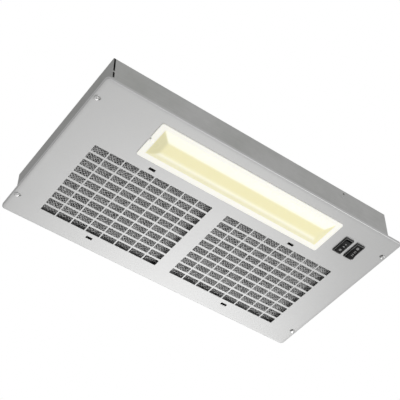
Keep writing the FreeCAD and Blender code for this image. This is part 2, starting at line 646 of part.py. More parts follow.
# ---- filters: an aluminium channel frame round a pad of expanded mesh, held by four clips ----
FILTER_HALF = (105.0, 79.5)
FILTER_TOP = Z_PANEL + 10.0
FRAME_T = 0.6
FRAME_FACE = 4.0
PAD_Z = Z_UNDER + 5.6


def make_filter_frame():
    cx, cy = GRILLE_X, GRILLE_Y + 0.35
    hx, hy = FILTER_HALF
    outer = rounded_box(cx - hx, cx + hx, cy - hy, cy + hy, Z_PANEL, FILTER_TOP, 2.0)
    channel = box(cx - hx + FRAME_T, cx + hx - FRAME_T, cy - hy + FRAME_T, cy + hy - FRAME_T,
                  Z_PANEL + FRAME_T, FILTER_TOP - FRAME_T)
    window = box(cx - hx + FRAME_FACE, cx + hx - FRAME_FACE, cy - hy + FRAME_FACE, cy + hy - FRAME_FACE,
                 Z_PANEL - 1, FILTER_TOP + 1)
    return outer.cut(channel).cut(window)


def make_filter_pad():
    cx, cy = GRILLE_X, GRILLE_Y + 0.35
    hx, hy = FILTER_HALF[0] - FRAME_T, FILTER_HALF[1] - FRAME_T
    return box(cx - hx, cx + hx, cy - hy, cy + hy, PAD_Z, FILTER_TOP - FRAME_T)


def filter_clips():
    """Spring clips in the panel's slots: a base, two upright prongs and a finger over the filter."""
    clips = []
    for x in (-CLIP_X, CLIP_X):
        for y in CLIP_Y:
            back = y + CLIP_SLOT[1] / 2
            base = box(x - 4.6, x + 4.6, back, back + 3.0, Z_PANEL, Z_PANEL + 0.5)
            if y < 0:
                base = box(x - 4.6, x + 4.6, back - 0.5, back, Z_UNDER, Z_PANEL + 0.5)
            prongs = [box(x + dx - 0.9, x + dx + 0.9, back - 0.5, back, Z_UNDER, FILTER_TOP + 1.0)
                      for dx in (-1.9, 1.9)]
            reach = 1 if y < 0 else -1
            near, far = sorted((back - 0.25, back - 0.25 + reach * (5.0 if y < 0 else 9.5)))
            finger = box(x - 2.8, x + 2.8, near, far, FILTER_TOP + 0.5, FILTER_TOP + 1.0)
            clips.append(base.fuse(prongs + [finger]))
    return clips


# ---- wiring box on the roof, with its cover, grommet and the leads that run to it ----
def make_wiring_box():
    x0, x1, y0, y1 = WIRING_BOX
    top = Z_ROOF + WIRING_H
    shell = rounded_box(x0, x1, y0, y1, Z_ROOF, top, 1.5)
    shell = shell.cut(box(x0 + 1, x1 - 1, y0 + 1, y1 - 1, Z_ROOF + 1, top + 1))
    shell = shell.cut(rod(KNOCKOUT_R, (x1 - 3, (y0 + y1) / 2, Z_ROOF + 20), ALONG_X, 6))
    return shell.cut(rod(8.0, (GROMMET[0], GROMMET[1], Z_ROOF - 1), UP, 4))


def make_wiring_cover():
    x0, x1, y0, y1 = WIRING_BOX
    top = Z_ROOF + WIRING_H
    lid = rounded_box(x0 - 1.2, x1 + 1.2, y0 - 1.2, y1 + 1.2, top, top + 1.0, 2.0)
    skirt = rounded_box(x0 - 1.2, x1 + 1.2, y0 - 1.2, y1 + 1.2, top - 6, top + 1.0, 2.0)
    skirt = skirt.cut(box(x0 - 0.1, x1 + 0.1, y0 - 0.1, y1 + 0.1, top - 7, top))
    return lid.fuse(skirt)


def make_grommet():
    x, y = GROMMET
    z0 = Z_ROOF - SHEET
    rings = rod(10.0, (x, y, z0 - 2), UP, 2).fuse([rod(8.0, (x, y, z0), UP, SHEET + 1),
                                                   rod(10.0, (x, y, Z_ROOF + 1), UP, 2)])
    return rings.cut(rod(5.5, (x, y, z0 - 5), UP, 15))


def lead(points, radius):
    """A round lead along straight runs joined by tangent arcs as large as the runs allow."""
    points = [V(*p) for p in points]
    edges = []
    start = points[0]
    for before, corner, after in zip(points, points[1:], points[2:]):
        run_in, run_out = corner - before, after - corner
        turn = run_in.getAngle(run_out)
        shorter = min(run_in.Length, run_out.Length)
        bend = 0.45 * shorter / math.tan(turn / 2)
        cut_back = 0.45 * shorter
        enter = corner - run_in.normalize() * cut_back
        leave = corner + run_out.normalize() * cut_back
        inward = (run_out - run_in).normalize()
        middle = corner + inward * (bend / math.cos(turn / 2) - bend)
        edges.append(Part.LineSegment(start, enter).toShape())
        edges.append(Part.Arc(enter, middle, leave).toShape())
        start = leave
        print("    lead bend radius %.1f" % bend)
    edges.append(Part.LineSegment(start, points[-1]).toShape())
    path = Part.Wire(edges)
    first = (points[1] - points[0]).normalize()
    section = Part.Wire(Part.makeCircle(radius, points[0], first))
    pipe = path.makePipeShell([section], True, False)
    print("    lead volume / section x length = %.4f" % (pipe.Volume / (math.pi * radius ** 2 * path.Length)))
    return pipe


def main():
    save("bottom_panel", make_bottom_panel())
    save("housing_wrap", make_housing_wrap())
    end_panel = make_end_panel_right()
    save("end_panel_right", end_panel)
    save("end_panel_left", mirrored_x(end_panel))
    save("corner_rivets", *corner_rivets())
    save("mounting_screws", *[mounting_screw(x, y) for x in (-SCREW_X, SCREW_X)
                              for y in (-SCREW_Y, SCREW_Y)])

    save("blower_cover", make_blower_cover())
    save("cover_screws", *[screw(x, y, Z_ROOF + SHEET, *SHEET_SCREW, 7.0, False)
                           for x, y in cover_screw_places()])
    save("duct_collar", make_duct_collar())
    save("collar_rivets", *[rivet(*place, 2.2) for place in collar_rivet_places()])
    save("damper_flap", make_damper_flap())
    save("damper_rod", make_damper_rod())

    wrap, wheel = make_scroll_wrap(), make_wheel()
    outer_plate, inner_plate = make_inlet_plate(True), make_inlet_plate(False)
    bracket, bush = make_bearing_bracket(), make_bearing_bush()
    save("scroll_wrap_right", wrap)
    save("scroll_wrap_left", mirrored_x(wrap))
    save("outer_inlet_plate_right", outer_plate)
    save("outer_inlet_plate_left", mirrored_x(outer_plate))
    save("inner_inlet_plate_right", inner_plate)
    save("inner_inlet_plate_left", mirrored_x(inner_plate))
    save("blower_wheel_right", wheel)
    save("blower_wheel_left", mirrored_x(wheel))
    save("motor_shaft", rod(SHAFT_R, (-SCROLL_X - 26, FAN_Y, FAN_Z), ALONG_X, 2 * SCROLL_X + 52))
    save("motor_rotor", tube(ROTOR_R, SHAFT_R, (-STACK_HALF, FAN_Y, FAN_Z), ALONG_X, 2 * STACK_HALF))
    save("motor_stack", make_motor_stack())
    save("motor_coil", make_motor_coil())
    save("bearing_bracket_right", bracket)
    save("bearing_bracket_left", mirrored_x(bracket))
    save("bearing_bush_right", bush)
    save("bearing_bush_left", mirrored_x(bush))
    save("motor_bracket", make_motor_bracket())
    save("motor_bracket_screws", *[screw(x, y, z, *SHEET_SCREW, 6.0, False)
                                   for x, y, z, _ in motor_screw_places()])

    save("reflector_tray", make_reflector_tray())
    save("lampholder_right", make_lampholder_right())
    save("lampholder_left", make_lampholder_left())
    save("lamp_glass", make_lamp_glass())
    save("lamp_caps", *lamp_caps())
    save("lamp_lens", make_lens())
    save("lens_catch", make_lens_catch())
    save("ballast", make_ballast())

    save("fan_switch_body", make_switch_body(FAN_SWITCH_X))
    save("fan_rocker", make_rocker(FAN_SWITCH_X, 0))
    save("fan_switch_terminals", *switch_terminals(FAN_SWITCH_X, 3))
    save("light_switch_body", make_switch_body(LIGHT_SWITCH_X))
    save("light_rocker", make_rocker(LIGHT_SWITCH_X, -ROCKER_TILT))
    save("light_switch_terminals", *switch_terminals(LIGHT_SWITCH_X, 2))

    frame, pad = make_filter_frame(), make_filter_pad()
    save("filter_frame_right", frame)
    save("filter_frame_left", mirrored_x(frame))
    save("filter_mesh_right", pad)
    save("filter_mesh_left", mirrored_x(pad))
    save("filter_clips", *filter_clips())

    save("wiring_box", make_wiring_box())
    save("wiring_box_cover", make_wiring_cover())
    save("lead_grommet", make_grommet())
    x, y = GROMMET
    z_turn, z_end = 52.0, Z_ROOF + 12
    save("switch_lead", lead([(LIGHT_SWITCH_X, SWITCH_Y, 22.5), (LIGHT_SWITCH_X, SWITCH_Y, 38),
                              (x + 8, y - 28, 49), (x + 2.8, y - 1.5, z_turn), (x + 2.8, y - 1.5, z_end)],
                             LEAD_R))
    save("lamp_lead", lead([(TRAY_X[1] - SHEET, LAMP_Y + 5, LAMP_Z + 8), (168, LAMP_Y + 5, LAMP_Z + 8),
                            (176, -66, 42), (x - 2.8, y - 1.5, z_turn), (x - 2.8, y - 1.5, z_end)],
                           LEAD_R))
    save("motor_lead", lead([(20, FAN_Y + 35, FAN_Z - 8), (36, FAN_Y + 35, FAN_Z - 8), (42, 20, 45),
                             (46, -38, 44), (150, -44, 49), (x, y + 3.2, z_turn), (x, y + 3.2, z_end)],
                            LEAD_R))


main()
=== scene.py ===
"""Looks of the range hood power pack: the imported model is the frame, and each section finishes one
piece or one group of like pieces, from the perforated panel below to the collar and wiring box on top."""
import math

import bmesh
import bpy
from mathutils import Matrix, Vector, noise as mathutils_noise


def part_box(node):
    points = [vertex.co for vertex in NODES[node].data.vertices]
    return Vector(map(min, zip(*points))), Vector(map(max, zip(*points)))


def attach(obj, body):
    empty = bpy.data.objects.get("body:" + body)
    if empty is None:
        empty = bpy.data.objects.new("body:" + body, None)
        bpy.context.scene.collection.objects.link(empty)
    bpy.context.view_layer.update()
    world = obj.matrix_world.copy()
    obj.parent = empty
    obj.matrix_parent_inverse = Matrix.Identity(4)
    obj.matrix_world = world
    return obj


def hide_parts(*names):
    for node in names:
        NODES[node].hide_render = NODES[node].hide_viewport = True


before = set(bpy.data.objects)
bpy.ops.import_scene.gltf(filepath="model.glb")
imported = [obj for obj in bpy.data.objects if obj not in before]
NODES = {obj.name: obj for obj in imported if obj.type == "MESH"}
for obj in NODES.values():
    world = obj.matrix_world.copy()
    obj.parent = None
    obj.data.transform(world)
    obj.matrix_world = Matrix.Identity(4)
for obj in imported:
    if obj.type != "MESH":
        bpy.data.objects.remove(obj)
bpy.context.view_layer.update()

# Camera, studio and floor. The hood hangs overhead, so the lens looks up at it from the front left;
# a pale floor lies well below, and large soft boxes stand round it.
CAMERA_PLACE = Vector((-0.6333, -0.8559, -1.1014))
CAMERA_AIM = Vector((-0.037, -0.0386, -0.0016))

camera_data = bpy.data.cameras.new("studio_camera")
camera_data.lens = 94.0
camera_data.sensor_width = 36.0
camera = bpy.data.objects.new("studio_camera", camera_data)
bpy.context.scene.collection.objects.link(camera)
camera.location = CAMERA_PLACE
camera.rotation_euler = (CAMERA_AIM - CAMERA_PLACE).to_track_quat("-Z", "Y").to_euler()
bpy.context.scene.camera = camera


def soft_box(name, place, aim, size, power, tint=(1.0, 1.0, 1.0)):
    """A rectangular studio light that faces a point on the hood."""
    data = bpy.data.lights.new(name, "AREA")
    data.shape = "RECTANGLE"
    data.size, data.size_y = size
    data.energy = power
    data.color = tint
    lamp = bpy.data.objects.new(name, data)
    bpy.context.scene.collection.objects.link(lamp)
    lamp.location = place
    lamp.rotation_euler = (Vector(aim) - Vector(place)).to_track_quat("-Z", "Y").to_euler()
    return lamp


soft_box("key_below_back", (0.9, 1.5, -1.35), (0, 0.05, 0), (0.9, 0.7), 7)
soft_box("strip_front_right", (0.95, -1.45, -1.15), (0, -0.1, 0), (1.1, 0.6), 12)
soft_box("top_box", (0.4, 0.6, 1.9), (0, 0, 0), (1.8, 1.8), 12)

world = bpy.data.worlds.new("white_room")
world.use_nodes = True
bpy.context.scene.world = world
w_nodes, w_links = world.node_tree.nodes, world.node_tree.links
w_nodes["Background"].inputs["Strength"].default_value = 0.50
seen = w_nodes.new("ShaderNodeBackground")
seen.inputs["Strength"].default_value = 1.0
ray = w_nodes.new("ShaderNodeLightPath")
blend = w_nodes.new("ShaderNodeMixShader")
w_links.new(ray.outputs["Is Camera Ray"], blend.inputs["Fac"])
w_links.new(w_nodes["Background"].outputs["Background"], blend.inputs[1])
w_links.new(seen.outputs["Background"], blend.inputs[2])
w_links.new(blend.outputs["Shader"], w_nodes["World Output"].inputs["Surface"])
w_nodes["Background"].inputs["Color"].default_value = (1, 1, 1, 1)
seen.inputs["Color"].default_value = (1, 1, 1, 1)
bpy.context.scene.view_settings.view_transform = "Standard"

FLOOR_Z = -1.9
floor_mesh = bpy.data.meshes.new("floor")
FLOOR_HALF = 9
floor_corners = [(x * FLOOR_HALF, y * FLOOR_HALF, FLOOR_Z) for x, y in ((-1, -1), (1, -1), (1, 1), (-1, 1))]
floor_mesh.from_pydata(floor_corners, [], [(0, 1, 2, 3)])
floor = bpy.data.objects.new("floor", floor_mesh)
bpy.context.scene.collection.objects.link(floor)
floor_paint = bpy.data.materials.new("pale_floor")
floor_paint.use_nodes = True
floor_paint.node_tree.nodes["Principled BSDF"].inputs["Base Color"].default_value = (0.82, 0.82, 0.81, 1)
floor_paint.node_tree.nodes["Principled BSDF"].inputs["Roughness"].default_value = 0.8
floor_mesh.materials.append(floor_paint)


# Bottom panel. One pressed steel sheet: the flat field is pierced for the filters, the lamp, the switches,
# the clips and the screws, its edge is turned up in a small bend, and it is powder coated silver all over.
SHEET = 0.0008
CORNER = 0.0055
BEND = 0.0013
low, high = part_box("bottom_panel")
under, panel_top = low.z, low.z + SHEET
half_w, half_d = high.x, high.y
FIELD_X, FIELD_Y = 0.11295, 0.03715
COLS, ROWS = 8, 10
SCREW_X, SCREW_Y = 0.2545, 0.1060
SCREW_HOLE_R, SCREW_HOLE_SHIFT = 0.0032, 0.00085
LAMP_MOUTH = (-0.1535, 0.1555, -0.1175, -0.064)
HOOK_YS, HOOK_SLOT = (-0.107, -0.073), (0.1576, 0.1621, 0.0044)
CLIP_XS, CLIP_YS, CLIP_HALF = (-0.1247, 0.1247), (-0.0452, 0.1202), (0.00525, 0.0025)
PITCH = (0.0252, 0.0151)
CELL = (0.0230, 0.0116)


def noise(nodes, links, vector, scale, detail=4.0, rough=0.55):
    """A noise texture on the given vector."""
    tex = nodes.new("ShaderNodeTexNoise")
    tex.inputs["Scale"].default_value = scale
    tex.inputs["Detail"].default_value = detail
    tex.inputs["Roughness"].default_value = rough
    links.new(vector, tex.inputs["Vector"])
    return tex.outputs["Fac"]


def ramp(nodes, links, value, stops):
    """A colour ramp from (place, grey or colour) stops."""
    node = nodes.new("ShaderNodeValToRGB")
    while len(node.color_ramp.elements) < len(stops):
        node.color_ramp.elements.new(0.5)
    for element, (place, shade) in zip(node.color_ramp.elements, stops):
        element.position = place
        element.color = (*shade, 1) if isinstance(shade, tuple) else (shade, shade, shade, 1)
    links.new(value, node.inputs["Fac"])
    return node.outputs["Color"]


def bump(nodes, links, shader, height, distance, strength=0.5):
    """A bump from a height value onto the shader's normal."""
    node = nodes.new("ShaderNodeBump")
    node.inputs["Distance"].default_value = distance
    node.inputs["Strength"].default_value = strength
    links.new(height, node.inputs["Height"])
    links.new(node.outputs["Normal"], shader.inputs["Normal"])


def start_finish(name, **sockets):
    """A material with its shader's constants set, and its object coordinates ready."""
    material = bpy.data.materials.new(name)
    material.use_nodes = True
    tree = material.node_tree
    shader = tree.nodes["Principled BSDF"]
    for socket, value in sockets.items():
        shader.inputs[socket.replace("_", " ")].default_value = value
    place = tree.nodes.new("ShaderNodeTexCoord").outputs["Object"]
    return material, tree.nodes, tree.links, shader, place


def mottled_finish(name, mottle, stops, grain, **sockets):
    """A finish with a mottled tone and a fine grain: noise settings, ramp stops, then the grain's bump."""
    material, nodes, links, shader, place = start_finish(name, **sockets)
    links.new(ramp(nodes, links, noise(nodes, links, place, *mottle), stops), shader.inputs["Base Color"])
    scale, detail, depth, strength = grain
    bump(nodes, links, shader, noise(nodes, links, place, scale, detail), depth, strength)
    return material


def silver_powder_coat():
    """Metallic silver powder: a fine orange peel, fine flake, and a barely uneven tone."""
    material, nodes, links, shader, place = start_finish("silver_powder_coat", Metallic=0.55, Roughness=0.42)
    flake = noise(nodes, links, place, 2400, 2.0)
    cloud = noise(nodes, links, place, 9, 3.0)
    tone = nodes.new("ShaderNodeMix")
    tone.data_type = "RGBA"
    tone.inputs["Factor"].default_value = 0.5
    links.new(ramp(nodes, links, flake, [(0.3, 0.58), (0.7, 0.72)]), tone.inputs["A"])
    links.new(ramp(nodes, links, cloud, [(0.3, 0.63), (0.7, 0.67)]), tone.inputs["B"])
    links.new(tone.outputs["Result"], shader.inputs["Base Color"])
    bump(nodes, links, shader, noise(nodes, links, place, 900, 2.0), 0.00002, 0.35)
    return material


def to_object(name, mesh_or_bm, material):
    """A finished mesh as an object at the origin, with its material and smoothed by angle."""
    if isinstance(mesh_or_bm, bmesh.types.BMesh):
        mesh = bpy.data.meshes.new(name)
        mesh_or_bm.to_mesh(mesh)
        mesh_or_bm.free()
    else:
        mesh = mesh_or_bm
    if material is not None:
        mesh.materials.clear()
        mesh.materials.append(material)
    mesh.shade_smooth()
    mesh.set_sharp_from_angle(angle=math.radians(32))
    obj = bpy.data.objects.new(name, mesh)
    bpy.context.scene.collection.objects.link(obj)
    return obj


def plain_mesh(obj):
    """Turn an object's evaluated geometry into its own plain mesh and drop its modifiers."""
    bpy.context.view_layer.update()
    result = bpy.data.meshes.new_from_object(obj.evaluated_get(bpy.context.evaluated_depsgraph_get()))
    obj.modifiers.clear()
    obj.data = result
    result.name = obj.name
    return obj


def bridge(bm, a, b):
    """Faces between two closed loops of the same length."""
    for i in range(len(a)):
        j = (i + 1) % len(a)
        bm.faces.new((a[i], a[j], b[j], b[i]))


def lone_face(bm, corners):
    """One face on its own new corners; doubles are welded later."""
    bm.faces.new([bm.verts.new(corner) for corner in corners])


def pierced_cell():
    """One grille cell: the bars' half widths round a rectangular hole with rolled edges."""
    bm = bmesh.new()
    roll = 0.00014
    corner_r, steps = 0.0008, 3
    rings = [(0.0, under), (roll * 0.3, under + roll * 0.3), (roll, under + roll), (roll, panel_top - roll),
             (roll * 0.3, panel_top - roll * 0.3), (0.0, panel_top)]
    loops = []
    for shrink, z in rings:
        hx, hy = CELL[0] / 2 + roll - shrink, CELL[1] / 2 + roll - shrink
        loop = []
        for corner in range(4):
            sx, sy = ((1, 1), (-1, 1), (-1, -1), (1, -1))[corner]
            for step in range(steps + 1):
                a = math.radians(90 * corner + 90 * step / steps)
                loop.append(bm.verts.new((sx * (hx - corner_r) + corner_r * math.cos(a),
                                          sy * (hy - corner_r) + corner_r * math.sin(a), z)))
        loops.append(loop)
    for a, b in zip(loops, loops[1:]):
        bridge(bm, a, b)
    for z, loop in ((under, loops[0]), (panel_top, loops[-1])):
        hx, hy = PITCH[0] / 2, PITCH[1] / 2
        outer = [bm.verts.new((sx * hx, sy * hy, z)) for sx, sy in ((1, 1), (-1, 1), (-1, -1), (1, -1))]
        for corner in range(4):
            first = corner * (steps + 1)
            arc = loop[first:first + steps + 1]
            for p, q in zip(arc, arc[1:]):
                bm.faces.new((outer[corner], q, p))
            following = (corner + 1) % 4
            bm.faces.new((outer[corner], outer[following], loop[following * (steps + 1)], arc[-1]))
    bmesh.ops.recalc_face_normals(bm, faces=bm.faces)
    return bm


def geometry_tree(name, inputs):
    """A Geometry Nodes tree with its geometry socket first, then the given (label, kind) inputs."""
    tree = bpy.data.node_groups.new(name, "GeometryNodeTree")
    tree.interface.new_socket("Geometry", in_out="INPUT", socket_type="NodeSocketGeometry")
    for label, kind in inputs:
        tree.interface.new_socket(label, in_out="INPUT", socket_type="NodeSocket" + kind)
    tree.interface.new_socket("Geometry", in_out="OUTPUT", socket_type="NodeSocketGeometry")
    return tree, tree.nodes, tree.links, tree.nodes.new("NodeGroupInput").outputs


def send_out(tree, geometry, material):
    """End a tree: the geometry gets its finish and goes out."""
    finish = tree.nodes.new("GeometryNodeSetMaterial")
    finish.inputs["Material"].default_value = material
    out = tree.nodes.new("NodeGroupOutput")
    tree.links.new(geometry, finish.inputs["Geometry"])
    tree.links.new(finish.outputs["Geometry"], out.inputs["Geometry"])


def run_tree(name, mesh, tree, values):
    """Put a mesh through a tree whose inputs are set by name, and keep the result as a plain mesh."""
    obj = bpy.data.objects.new(name, mesh)
    bpy.context.scene.collection.objects.link(obj)
    modifier = obj.modifiers.new(name, "NODES")
    modifier.node_group = tree
    for item in tree.interface.items_tree:
        if item.in_out == "INPUT" and item.name in values:
            modifier[item.identifier] = values[item.name]
    return plain_mesh(obj)


def feed(links, socket, value):
    """Give a socket a constant, or another node's output."""
    if isinstance(value, (int, float)):
        socket.default_value = value
    else:
        links.new(value, socket)


def math_node(nodes, links, operation, a, b=None):
    """One arithmetic step in a Geometry Nodes field."""
    node = nodes.new("ShaderNodeMath")
    node.operation = operation
    feed(links, node.inputs[0], a)
    if b is not None:
        feed(links, node.inputs[1], b)
    return node.outputs[0]


def grid_of_instances(name, unit, material, centres, pitch, counts):
    """Geometry Nodes: the unit mesh repeated on a grid about each centre, realised and given its finish."""
    tree, nodes, links, given = geometry_tree(name, (("Pitch X", "Float"), ("Pitch Y", "Float"),
                                                     ("Columns", "Int"), ("Rows", "Int")))
    grid = nodes.new("GeometryNodeMeshGrid")
    for axis, label in (("X", "Columns"), ("Y", "Rows")):
        gaps = math_node(nodes, links, "SUBTRACT", given[label], 1.0)
        span = math_node(nodes, links, "MULTIPLY", gaps, given["Pitch " + axis])
        links.new(span, grid.inputs["Size " + axis])
        links.new(given[label], grid.inputs["Vertices " + axis])
    unit_obj = to_object(name + "_unit", unit, material)
    info = nodes.new("GeometryNodeObjectInfo")
    info.inputs["Object"].default_value = unit_obj
    cells = nodes.new("GeometryNodeInstanceOnPoints")
    links.new(grid.outputs["Mesh"], cells.inputs["Points"])
    links.new(info.outputs["Geometry"], cells.inputs["Instance"])
    fields = nodes.new("GeometryNodeInstanceOnPoints")
    links.new(given["Geometry"], fields.inputs["Points"])
    links.new(cells.outputs["Instances"], fields.inputs["Instance"])
    real = nodes.new("GeometryNodeRealizeInstances")
    links.new(fields.outputs["Instances"], real.inputs["Geometry"])
    weld = nodes.new("GeometryNodeMergeByDistance")
    weld.inputs["Distance"].default_value = 0.00002
    links.new(real.outputs["Geometry"], weld.inputs["Geometry"])
    send_out(tree, weld.outputs["Geometry"], material)
    points = bpy.data.meshes.new(name)
    points.from_pydata(centres, [], [])
    obj = run_tree(name, points, tree, {"Pitch X": pitch[0], "Pitch Y": pitch[1], "Columns": counts[0],
                                        "Rows": counts[1]})
    bpy.data.objects.remove(unit_obj)
    return obj


def edge_lines(spans, limit):
    """Sorted grid lines at the edges of every opening, and at the flat field's two limits."""
    return sorted({round(v, 6) for span in spans for v in span} | {-limit, limit})


def panel_sheet():
    """The flat field as a grid with openings left out, then the bend and lip swept round its edge."""
    bm = bmesh.new()
    flat_x, flat_y = half_w - CORNER, half_d - CORNER
    field_half = (PITCH[0] * COLS / 2, PITCH[1] * ROWS / 2)
    openings = [(s * FIELD_X - field_half[0], s * FIELD_X + field_half[0], FIELD_Y - field_half[1],
                 FIELD_Y + field_half[1]) for s in (-1, 1)]
    openings.append(LAMP_MOUTH)
    openings += [(*HOOK_SLOT[:2], y - HOOK_SLOT[2], y + HOOK_SLOT[2]) for y in HOOK_YS]
    for node in ("fan_switch_body", "light_switch_body"):
        a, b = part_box(node)
        openings.append((a.x + 0.001, b.x - 0.001, a.y + 0.0013, b.y - 0.0013))
    openings += [(x - CLIP_HALF[0], x + CLIP_HALF[0], y - CLIP_HALF[1], y + CLIP_HALF[1])
                 for x in CLIP_XS for y in CLIP_YS]
    solid = openings[2:]
    hole_half = 0.0036
    holes = [(x - SCREW_HOLE_SHIFT, y - SCREW_HOLE_SHIFT) for x in (-SCREW_X, SCREW_X)
             for y in (-SCREW_Y, SCREW_Y)]
    holes = [(max(min(x, flat_x - hole_half), -flat_x + hole_half), y) for x, y in holes]
    openings += [(x - hole_half, x + hole_half, y - hole_half, y + hole_half) for x, y in holes]
    xs = edge_lines([(o[0], o[1]) for o in openings], flat_x)
    ys = edge_lines([(o[2], o[3]) for o in openings], flat_y)

    def is_open(x, y, among):
        return any(o[0] < x < o[1] and o[2] < y < o[3] for o in among)

    for x0, x1 in zip(xs, xs[1:]):
        for y0, y1 in zip(ys, ys[1:]):
            if is_open((x0 + x1) / 2, (y0 + y1) / 2, openings):
                continue
            for z in (under, panel_top):
                lone_face(bm, [(x, y, z) for x, y in ((x0, y0), (x1, y0), (x1, y1), (x0, y1))])
    for x, y in holes:
        for quarter in range(4):
            sx, sy = ((1, 1), (-1, 1), (-1, -1), (1, -1))[quarter]
            tx, ty = ((1, 1), (-1, 1), (-1, -1), (1, -1))[(quarter + 1) % 4]
            arc = [(x + SCREW_HOLE_R * math.cos(math.radians(45 + 90 * quarter + 15 * k)),
                    y + SCREW_HOLE_R * math.sin(math.radians(45 + 90 * quarter + 15 * k))) for k in range(7)]
            for z in (under, panel_top):
                rim = [(px, py, z) for px, py in arc]
                lone_face(bm, [(x + hole_half * sx, y + hole_half * sy, z), *rim,
                               (x + hole_half * tx, y + hole_half * ty, z)])
            for a, b in zip(arc, arc[1:]):
                lone_face(bm, [(*a, under), (*b, under), (*b, panel_top), (*a, panel_top)])
    for x0, x1, y0, y1 in solid:
        corners = [(x0, y0), (x1, y0), (x1, y1), (x0, y1)]
        for a, b in zip(corners, corners[1:] + corners[:1]):
            lone_face(bm, [(*a, under), (*b, under), (*b, panel_top), (*a, panel_top)])
    lip_top = high.z
    soft = 0.0002
    bend = [(CORNER - BEND + BEND * math.sin(math.radians(a)),
             under + BEND - BEND * math.cos(math.radians(a))) for a in range(0, 91, 15)]
    inner_r = BEND - SHEET
    inner_bend = [(CORNER - BEND + inner_r * math.sin(math.radians(a)),
                   panel_top + inner_r - inner_r * math.cos(math.radians(a))) for a in range(90, -1, -30)]
    profile = [(0.0, under)] + bend + [(CORNER, lip_top - soft), (CORNER - soft, lip_top),
                                       (CORNER - SHEET + soft, lip_top), (CORNER - SHEET, lip_top - soft)]
    profile += inner_bend + [(0.0, panel_top)]
    path = []
    sides = [([(x, -flat_y) for x in xs], -90), ([(flat_x, y) for y in ys], 0),
             ([(x, flat_y) for x in reversed(xs)], 90), ([(-flat_x, y) for y in reversed(ys)], 180)]
    for points, facing in sides:
        path += [(p, facing) for p in points]
        path += [(points[-1], facing + turn) for turn in range(15, 90, 15)]
    rings = []
    for (x, y), facing in path:
        ux, uy = math.cos(math.radians(facing)), math.sin(math.radians(facing))
        rings.append([bm.verts.new((x + ux * r, y + uy * r, z)) for r, z in profile])
    for a, b in zip(rings, rings[1:] + rings[:1]):
        for i in range(len(profile) - 1):
            bm.faces.new((a[i], b[i], b[i + 1], a[i + 1]))
    return bm


silver = silver_powder_coat()
grille = grid_of_instances("grille_cells", pierced_cell(), silver,
                           [(-FIELD_X, FIELD_Y, 0), (FIELD_X, FIELD_Y, 0)], PITCH, (COLS, ROWS))
sheet_bm = panel_sheet()
sheet_bm.from_mesh(grille.data)
bpy.data.objects.remove(grille)
bmesh.ops.remove_doubles(sheet_bm, verts=sheet_bm.verts, dist=0.00001)
bmesh.ops.recalc_face_normals(sheet_bm, faces=sheet_bm.faces)
panel = to_object("pressed_panel", sheet_bm, silver)
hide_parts("bottom_panel")
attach(panel, "hood")


# Housing. One galvanised sheet folded over front, roof and back, riveted to an end panel at each side;
# the rolled zinc keeps a faint spangle and rolling streaks along its length.
def dress(material, *nodes):
    """Give a finish to CAD nodes, whose shapes stay as they are."""
    for node in nodes:
        for slot in NODES[node].material_slots:
            slot.material = material


def blend_colours(nodes, links, a, b, factor=0.5, kind="MIX"):
    """Two colours mixed by a fixed or a varying factor."""
    node = nodes.new("ShaderNodeMix")
    node.data_type = "RGBA"
    node.blend_type = kind
    if isinstance(factor, float):
        node.inputs["Factor"].default_value = factor
    else:
        links.new(factor, node.inputs["Factor"])
    links.new(a, node.inputs["A"])
    links.new(b, node.inputs["B"])
    return node.outputs["Result"]


def stretched(nodes, links, place, scale):
    """Object coordinates stretched by a scale on each axis."""
    node = nodes.new("ShaderNodeMapping")
    node.inputs["Scale"].default_value = scale
    links.new(place, node.inputs["Vector"])
    return node.outputs["Vector"]


def spangles(nodes, links, place, size):
    """A flat value for each crystal of zinc, of about the given size."""
    tex = nodes.new("ShaderNodeTexVoronoi")
    tex.inputs["Scale"].default_value = 1 / size
    links.new(place, tex.inputs["Vector"])
    grey = nodes.new("ShaderNodeRGBToBW")
    links.new(tex.outputs["Color"], grey.inputs["Color"])
    return grey.outputs["Val"]


def galvanised_sheet(name, tone, streak_scale, spangle_size=0.006):
    """Zinc coated steel: spangle in tone and gloss, rolling streaks, and a little grime in clouds."""
    material, nodes, links, shader, place = start_finish(name, Metallic=0.8)
    crystal = spangles(nodes, links, place, spangle_size)
    streak = noise(nodes, links, stretched(nodes, links, place, streak_scale), 1.0, 5.0, 0.7)
    cloud = noise(nodes, links, place, 14, 3.0)
    colour = blend_colours(nodes, links,
                           ramp(nodes, links, crystal, [(0.2, tone * 0.93), (0.8, tone * 1.05)]),
                           ramp(nodes, links, streak, [(0.3, tone * 0.9), (0.7, tone * 1.08)]), 0.6)
    colour = blend_colours(nodes, links, colour,
                           ramp(nodes, links, cloud, [(0.25, (0.86, 0.87, 0.84)), (0.6, (1.0, 1.0, 0.985))]),
                           1.0, "MULTIPLY")
    links.new(colour, shader.inputs["Base Color"])
    links.new(ramp(nodes, links, crystal, [(0.1, 0.38), (0.9, 0.50)]), shader.inputs["Roughness"])
    bump(nodes, links, shader, streak, 0.00003, 0.3)
    return material


wall_zinc = galvanised_sheet("galvanised_walls", 0.62, (9, 9, 900))
end_zinc = galvanised_sheet("galvanised_ends", 0.46, (900, 9, 900))
dress(wall_zinc, "housing_wrap")
dress(end_zinc, "end_panel_left", "end_panel_right")


# Grease filters. Each is a folded aluminium channel round a pad of crinkled expanded foil; strands of slit
# foil are pulled into diamonds, crumpled, and laid in layers over a denser core, whose foil is painted dark
# as shade.
def foil_aluminium(name, dark, light, rough):
    """Bare crumpled foil: tone breaks up strand by strand."""
    return mottled_finish(name, (520, 4.0, 0.7), [(0.36, dark), (0.66, light)], (1500, 3.0, 0.0002, 0.6),
                          Metallic=0.5, Roughness=rough)


